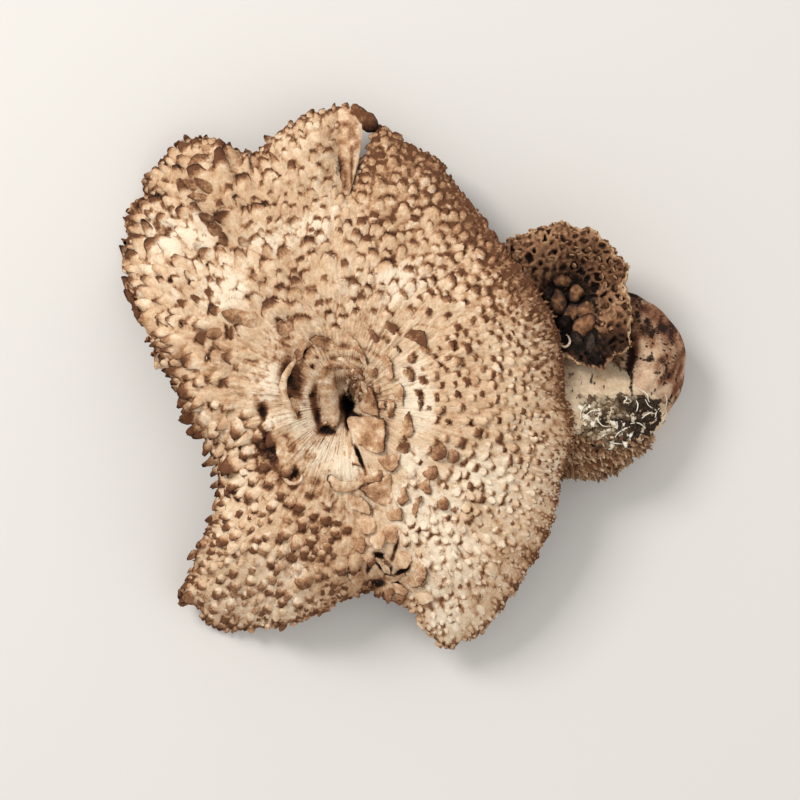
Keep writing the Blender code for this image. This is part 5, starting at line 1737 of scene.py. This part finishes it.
def makeSmallCap():
    # a closed sheet like the large cap's, with a net of raised flesh round pits, the pits painted dark as
    # shade and the net paler as a painted highlight
    around, rings, below = 480, 112, 30
    angle = np.arange(around) * math.tau / around
    rim = smallRim(angle)
    cos, sin = np.cos(angle)[None], np.sin(angle)[None]
    share = np.linspace(0, 1, rings + 1)[1:, None] ** 0.8
    shareBelow = np.linspace(1, 0, below + 1)[:-1, None] * 0.995
    reach = share * rim
    x, y = smallMiddle[0] + reach * cos, smallMiddle[1] + reach * sin
    top = onSmallCap(x, y)[0]
    net, well, own = [v.reshape(x.shape) for v in smallNet(x.ravel(), y.ravel())]
    netted = smooth(0.0085, 0.0130, reach)
    south = smooth(-0.1, -0.7, sin) * smooth(0.0215, 0.0150, reach)
    fibre = bumps(cos * 0.03 + 0 * reach, sin * 0.03 + reach * 0.12, 0.0011, 90)
    folds = bumps(cos * 0.024 + 0 * reach, sin * 0.024 + reach * 0.2, 0.0034, 93)
    inner = (1 - 0.85 * south) * (0.55 + 0.45 * smooth(-0.5, 0.5, bumps(x, y, 0.0055, 112)))
    top[..., 2] += netted * inner * (0.0006 * net - (0.0006 + 0.0012 * own) * well) * smooth(1.0, 0.97, share)
    top[..., 2] += 0.0006 * folds * netted + 0.0006 * fibre * np.maximum(south, smooth(0.016, 0.008, reach))
    top[..., 2] += 0.00045 * bumps(x, y, 0.0011, 92)
    under = underSmallCap(smallMiddle[0] + shareBelow * rim * cos, smallMiddle[1] + shareBelow * rim * sin)[0]
    wall = 0.5 * (top[-1] + under[0])
    wall[:, :2] += 0.0006 * np.stack([np.cos(angle), np.sin(angle)], axis=1)
    mx, my = smallMiddle[:, None]
    points, faces = closedSheet(onSmallCap(mx, my)[0], top, wall, under, underSmallCap(mx, my)[0])
    fromRim = rim - reach
    lower = smooth(-0.35, -0.75, sin)
    paleRim = np.exp(-((fromRim / 0.0008) ** 2)) * (0.5 + 0.5 * np.maximum(lower, smooth(0.3, 0.7, cos)))
    patches, fine = bumps(x, y, 0.0060, 85), bumps(x, y, 0.0011, 111)
    band = smooth(0.0275, 0.0225, y)  # the fibrous band along the lower side of the funnel, without pits
    # painted shade and highlight: the pits browner, the net paler
    brown = 0.64 + 0.28 * patches - 0.22 * net * (1 - 0.8 * band) + 0.45 * well * (0.4 + 0.6 * own)
    brown = brown + 0.28 * lower + 0.15 * (1 - netted) + 0.3 * band
    brown = brown + 0.22 * fibre * (south + 0.3) + 0.22 * fine - 1.2 * paleRim
    funnel = np.hypot(x - 0.0780, (y - 0.0335) / 1.25)
    upperRim = smooth(0.2, 0.8, np.sin(angle - 0.6)) * np.exp(-((fromRim / 0.0030) ** 2))
    # painted shade: the pits, the cells off the net, the troughs of the folds and the funnel's deep middle
    # are darkened
    dark = netted * inner * well * (0.45 + 0.65 * own) * (1 - 0.7 * band)
    dark = dark + 0.80 * smooth(0.0140, 0.0085, funnel) + 0.30 * lower
    dark = dark + band * (0.20 + 0.45 * smooth(-0.1, 0.8, fibre)) + 0.34 * south * fibre
    dark = dark + 0.14 * (1 - net) * netted * (0.5 + fine) + 0.38 * upperRim
    dark = dark + 0.20 * smooth(0.2, -0.7, folds) * netted
    dark = dark * (1 - np.clip(paleRim, 0, 1))
    # painted highlight: the net is made paler
    shade = 0.62 - 0.25 * net * fine - 0.6 * paleRim
    beneath = np.ones(len(points) - 1 - rings * around)
    brown, dark = np.r_[0.8, brown.ravel(), 0.35 * beneath], np.r_[0.7, dark.ravel(), 0 * beneath]
    paint = tones(brown, dark, np.r_[0.5, shade.ravel(), 0.5 * beneath])
    meshPiece("small_cap_flesh", points, faces, smallMaterial, "small_mushroom", paint)


makeSmallCap()


fringe = {"count": 150, "inset": 0.0011, "gap": 0.0014, "lipGap": 0.0023, "lipsAbove": 0.0255}


def makeSmallScales():
    # thin pale-edged lips over the upper pits, most of them
    # on the right, and a fringe of small scales along the rim
    random = np.random.default_rng(86)
    dx, dy = (smallSeeds - smallMiddle).T
    reach, angle = np.hypot(dx, dy), np.arctan2(dy, dx)
    lips = (reach > 0.0125) & (reach < smallRim(angle) - 0.0020)
    lips &= random.random(len(dx)) < 0.35 + 0.5 * (np.cos(angle) > 0.2)
    lips &= smallSeeds[:, 1] > fringe["lipsAbove"]
    turn = np.linspace(0, math.tau, fringe["count"], endpoint=False) + 0.03 * random.random(fringe["count"])
    out = smallRim(turn) - fringe["inset"] + 0.0004 * random.random(fringe["count"])
    spots = np.vstack([
        smallSeeds[lips] + 0.0006 * (random.random((lips.sum(), 2)) - 0.5),
        smallMiddle + out[:, None] * np.stack([np.cos(turn), np.sin(turn)], axis=1),
    ])
    count = len(spots)
    draw = lambda low, high: low + (high - low) * random.random(count)
    dx, dy = (spots - smallMiddle).T
    heading = np.arctan2(dy, dx) + draw(-0.6, 0.6)
    gap = np.where(np.arange(count) >= lips.sum(), fringe["gap"], fringe["lipGap"])
    sizes = (
        gap * draw(0.9, 1.4), gap * draw(0.8, 1.2), gap * draw(0.18, 0.36), draw(-0.3, 0.5), draw(-0.2, 0.8),
        draw(-0.2, 0.2), gap * draw(0.05, 0.09),
    )
    points, faces, _, _, share, isUnder, isSide = scaleForms(onSmallCap, spots, heading, sizes, random)
    edgePale = np.maximum(smooth(0.70, 0.95, share), isSide * smooth(0.3, 0.6, share))
    edgePale = edgePale * draw(0.2, 1.0)[:, None]
    brown = 0.62 + draw(-0.25, 0.25)[:, None] - 0.75 * edgePale
    # the underside of each scale is painted darker as shade
    dark = 0.55 * smooth(0.15, 0.5, share) * (1 - edgePale) * draw(0.2, 1.0)[:, None] + 0.3 * isUnder
    meshPiece("small_cap_scales", points, faces, smallMaterial, "small_mushroom", tones(brown, dark, 0.5))


makeSmallScales()
smallTeeth = {
    "spacing": 0.0018, "jitter": 0.5, "radius": 0.00045, "fromMiddle": 0.0130, "fromEdge": 0.0024,
    "short": 0.0016, "long": 0.0025,
}
x, y = hexSpots(smallCircle, smallTeeth["spacing"], smallTeeth["jitter"], 64)
dx, dy = x - smallMiddle[0], y - smallMiddle[1]
reach, angle = np.hypot(dx, dy), np.arctan2(dy, dx)
kept = (reach > smallTeeth["fromMiddle"]) & (reach < smallRim(angle) - smallTeeth["fromEdge"])
x, y = x[kept], y[kept]
length = mix(smallTeeth["short"], smallTeeth["long"], hashed(x * 1e4, y * 1e4, 2))
makeTeeth("small_cap_teeth", underSmallCap, x, y, length, smallTeeth["radius"], "small_mushroom")


# Rounded knobs in the funnel

# the grey brown and the dark colour the painted shade low on the knobs, where they meet
knobPaint = {
    "cream": srgb(0.72, 0.56, 0.42), "pale": srgb(0.57, 0.40, 0.28), "tan": srgb(0.43, 0.29, 0.20),
    "brown": srgb(0.29, 0.24, 0.22), "dark": srgb(0.08, 0.055, 0.045), "fibreDepth": 0.0008,
}
knobMaterial = capMaterial("knobs", knobPaint)
knobs = [  # x, y, half length, half width, heading in degrees, how pale its top is painted, as a highlight
    (0.0764, 0.0445, 0.0043, 0.0024, 166, 0.80),
    (0.0822, 0.0395, 0.0037, 0.0031, 30, 0.95),
    (0.0756, 0.0367, 0.0056, 0.0032, 100, 0.55),
    (0.0805, 0.0322, 0.0045, 0.0038, 75, 0.70),
    (0.0856, 0.0330, 0.0050, 0.0037, 62, 0.75),
    (0.0842, 0.0272, 0.0050, 0.0036, 35, 0.85),
    (0.0862, 0.0212, 0.0042, 0.0020, 78, 0.30),
    (0.0816, 0.0222, 0.0036, 0.0018, 110, 0.20),
    (0.0716, 0.0400, 0.0040, 0.0025, 110, 0.22),
    (0.0728, 0.0332, 0.0032, 0.0023, 100, 0.12),
    (0.0772, 0.0278, 0.0034, 0.0024, 60, 0.14),
]


def makeKnobs():
    # oval lumps packed into the funnel, with a painted highlight on top and painted shade where they meet
    x, y, long, wide, turn, pale = np.array(knobs).T[..., None]
    balls, faces = lumpForms(len(knobs), 22, 30)
    u, v, w = np.moveaxis(balls, -1, 0)
    moved = u + 3 * np.arange(len(knobs))[:, None]
    swell = 1 + 0.30 * bumps(moved, v + w, 0.8, 91) + 0.12 * bumps(moved, v - w, 0.35, 93)
    along, across, up = u * long * swell, v * wide * swell, w * 0.75 * wide * swell
    dx, dy = turnedBy(along, across, np.radians(turn))
    points = np.stack([x + dx, y + dy, smallHeight(x, y) + 0.30 * wide + up - 0.25 * np.abs(along)], axis=-1)
    # painted highlight on each knob's top; painted shade low on it where knobs meet
    crest = smooth(0.15, 0.98, w + 0.20 * v) * pale
    mottle = bumps(points[..., 0], points[..., 1], 0.0012, 113)
    paint = tones(0.95 - 0.80 * crest + 0.35 * mottle, 0.90 * (1 - crest) ** 1.3, 0.6 + 0.4 * mottle)
    meshPiece("funnel_knobs", points, faces, knobMaterial, "small_mushroom", paint)


makeKnobs()


curl = {"middle": (0.0769, 0.0226), "reach": (0.0019, 0.0022), "turns": (-160, 70), "raised": 0.0013}


def makeCurl():
    # a pale ring of torn skin where the funnel meets the large cap
    stations = 40
    angle = np.radians(np.linspace(*curl["turns"], stations))
    x = curl["middle"][0] + curl["reach"][0] * np.cos(angle)
    y = curl["middle"][1] + curl["reach"][1] * np.sin(angle)
    path = np.stack([x, y, smallHeight(x, y) + curl["raised"] + 0.0006 * np.sin(angle * 1.5)], axis=1)
    half = 0.00030 * np.sin(np.linspace(0.25, 2.9, stations)) + 0.00012
    points, faces = sweep(path, half, 1.8 * half, sideways(path), upwards(stations), 12, 0.0001, 94)
    paint = tones(np.full(len(points), 0.05), 0, 0.2)
    meshPiece("pale_curl", points, faces, fleshMaterial, "small_mushroom", paint)


makeCurl()


# Soil dried onto the base, with pale threads in it

soilPaint = {
    "cream": srgb(0.76, 0.70, 0.60), "pale": srgb(0.52, 0.43, 0.33), "tan": srgb(0.37, 0.29, 0.21),
    "brown": srgb(0.21, 0.155, 0.115), "dark": srgb(0.075, 0.05, 0.038), "fibreDepth": 0.0010,
}
threadPaint = {
    "cream": srgb(0.93, 0.91, 0.85), "pale": srgb(0.84, 0.80, 0.71), "tan": srgb(0.70, 0.64, 0.54),
    "brown": srgb(0.45, 0.37, 0.28), "dark": srgb(0.2, 0.15, 0.11), "fibreDepth": 0.0003,
}
soilMaterial = capMaterial("soil", soilPaint)
threadMaterial = capMaterial("threads", threadPaint)
soil = {
    "middle": (0.0965, -0.0035), "radii": (0.0180, 0.0125), "turn": math.radians(-12),
    "lowest": 0.0135, "rightmost": 0.1118,  # the crust reaches no lower and no further to the right
    "grains": {
        "count": 520, "rows": 5, "sides": 8, "least": 0.0003, "most": 0.0011, "longer": 0.9, "flat": 0.8,
        "uneven": 0.6,
    },
    "clumps": {
        "rows": 5, "sides": 8, "least": 0.0004, "most": 0.0013, "longer": 0.9, "flat": 0.5, "uneven": 0.6
    },
}
clumps = [  # x, y, spread and number of the pale lumps in each clump
    (0.0850, -0.0010, 0.0018, 20), (0.0880, -0.0035, 0.0022, 44), (0.0845, -0.0050, 0.0018, 14),
    (0.0925, -0.0025, 0.0014, 12), (0.0965, -0.0080, 0.0020, 18), (0.1000, -0.0045, 0.0016, 10),
    (0.0985, -0.0110, 0.0020, 16), (0.0940, -0.0135, 0.0022, 12), (0.0990, 0.0010, 0.0016, 6),
    (0.1030, -0.0110, 0.0014, 8), (0.0905, -0.0090, 0.0024, 12),
]


def stemTop(x, y):
    # height of the higher of the two stems' tops, found from the nearest row of each
    best = np.full(np.shape(x), -1.0)
    for table, scaleX, scaleY in ((largeStem, 0.80, 1.0), (smallStem, 1.0, 0.80)):
        for cx, cy, cz, wide, tall in alongTable(table, 60, 12):
            away = (((x - cx) / scaleX) ** 2 + ((y - cy) / scaleY) ** 2) / wide**2
            best = np.maximum(best, np.where(away < 1, cz + tall * np.sqrt(np.clip(1 - away, 0, 1)), -1.0))
    return best


def soilDark(x, y):
    # black earth at the right and along the crease, greyer and paler towards the left
    right = smooth(0.0960, 0.1030, x)
    crease = np.exp(-(((x - 0.0960) / 0.0080) ** 2 + ((y + 0.0062) / 0.0020) ** 2))
    return np.clip(0.36 + 0.70 * right + 0.5 * crease + 0.45 * bumps(x, y, 0.0030, 100), 0, 1)


def makeSoil():
    # a closed crust over both stems, with grains of soil and clumps of the pale threads that hold it
    around, rings = 190, 56
    angle = np.arange(around) * math.tau / around
    rim = 0.92 + 0.14 * np.sin(3 * angle + 1) + 0.10 * np.sin(5 * angle)
    rim = rim + 0.08 * np.sin(11 * angle + 2) + 0.05 * np.sin(23 * angle)
    rim = rim * (
        1 + 0.30 * np.exp(-(((angle - 0.75) / 0.40) ** 2)) - 0.52 * np.exp(-(((angle - 2.0) / 0.75) ** 2))
    )
    a, b = soil["radii"]

    def placed(reach, turn):
        dx, dy = turnedBy(reach * a * np.cos(turn), reach * b * np.sin(turn), soil["turn"])
        return soil["middle"][0] + dx, soil["middle"][1] + dy

    for _ in range(40):  # draws the rim in until it lies on the stems
        x, y = placed(rim, angle)
        rim = np.where((stemTop(x, y) > soil["lowest"]) & (x < soil["rightmost"]), rim, rim * 0.97)
    for _ in range(3):
        rim = (np.roll(rim, 1) + 2 * rim + np.roll(rim, -1)) / 4
    share = np.linspace(0, 1, rings + 1)[1:, None]
    x, y = placed(share * rim, angle)
    z = np.maximum(stemTop(x, y), 0.0120)
    lumps = 0.0011 * bumps(x, y, 0.0040, 95) + 0.0009 * bumps(x, y, 0.0017, 96)
    lumps = lumps + 0.0005 * bumps(x, y, 0.0008, 97)
    top = z + (0.0012 + lumps) * (1 - share**4) - 0.0006 * share
    under = z - 0.0022
    points = np.vstack([
        [[*soil["middle"], top[0].mean()]], np.stack([x, y, top], axis=-1).reshape(-1, 3),
        np.stack([x, y, under], axis=-1)[::-1].reshape(-1, 3), [[*soil["middle"], under[0].mean()]],
    ])
    black = soilDark(points[:, 0], points[:, 1])
    # painted shade: darker where the crust's lumps dip
    low = 0.5 - 350 * np.r_[0, lumps.ravel(), lumps[::-1].ravel(), 0]
    paint = tones(0.15 + 0.95 * black, (low - 0.35) * (0.4 + 0.6 * black), 0.35 + 0.3 * black)
    meshPiece("soil_bed", points, tubeFaces(2 * rings, around), soilMaterial, "soil_crust", paint)

    random = np.random.default_rng(99)
    count = soil["grains"]["count"]
    turn, out = random.random(count) * math.tau, np.sqrt(random.random(count)) * 0.93
    grainSpots = np.stack(placed(np.interp(turn, angle, rim, period=math.tau) * out, turn), axis=1)
    middles, spread, number = np.split(np.array(clumps), [2, 3], axis=1)
    threadSpots, spread = [np.repeat(v, number[:, 0].astype(int), axis=0) for v in (middles, spread)]
    threadSpots = threadSpots + spread * random.normal(0, 0.55, threadSpots.shape)
    for name, spots, form, material in (
        ("soil_grains", grainSpots, soil["grains"], soilMaterial),
        ("thread_clumps", threadSpots, soil["clumps"], threadMaterial),
    ):
        x, y = spots[stemTop(*spots.T) > 0.0130].T
        points, faces, own = looseLumps(random, x, y, stemTop(x, y) + 0.0011, form)
        black = soilDark(points[..., 0], points[..., 1]) if name == "soil_grains" else 0.3 * own
        paint = tones(0.1 + 0.8 * black + 0.3 * (own - 0.5), 0.45 * black * own, own)
        meshPiece(name, points, faces, material, "soil_crust", paint)


makeSoil()

threads = [  # x, y and heading in degrees of the middle of a loose thread, its length, and how far it bends
    (0.1045, 0.0035, -50, 0.0070, 0.0012), (0.1085, 0.0000, -35, 0.0075, -0.0014),
    (0.1100, -0.0035, 70, 0.0050, 0.0008),
    (0.1065, -0.0040, 20, 0.0055, 0.0010), (0.1130, 0.0015, -80, 0.0045, 0.0006),
    (0.1020, 0.0000, 100, 0.0045, -0.0008),
    (0.0975, -0.0095, 35, 0.0065, 0.0008), (0.0870, -0.0030, 15, 0.0050, 0.0010),
    (0.0905, -0.0060, -30, 0.0060, -0.0010),
    (0.0945, -0.0125, 160, 0.0065, 0.0008), (0.1030, -0.0075, -20, 0.0060, 0.0012),
    (0.0835, -0.0020, 70, 0.0050, 0.0008),
]


def makeThreads():
    # thin pale threads laid over the soil, each a bent tube whose height wanders a little
    stations, pieces = 26, []
    t = np.linspace(-0.5, 0.5, stations)
    for number, (x, y, turn, length, bend) in enumerate(threads):
        across = bend * np.cos(t * 3) + 0.0003 * bumps(t * length + number, 0 * t, 0.0012, 101)
        dx, dy = turnedBy(length * t, across, math.radians(turn))
        z = np.maximum(stemTop(x + dx, y + dy), 0.0150) + 0.0018
        path = np.stack([x + dx, y + dy, z + 0.0005 * bumps(t * length + number, 0 * t, 0.0016, 102)], axis=1)
        for _ in range(4):
            path[1:-1] = (path[:-2] + 2 * path[1:-1] + path[2:]) / 4
        half = 0.00013 + 0.00009 * np.cos(t * 3)
        points, faces = sweep(path, half, half, sideways(path), upwards(stations), 7)
        pieces.append(points)
    points = np.stack(pieces)
    paint = tones(np.full(points.shape[:2], 0.04), 0, 0.2)
    meshPiece("loose_threads", points, faces, threadMaterial, "soil_crust", paint)


makeThreads()
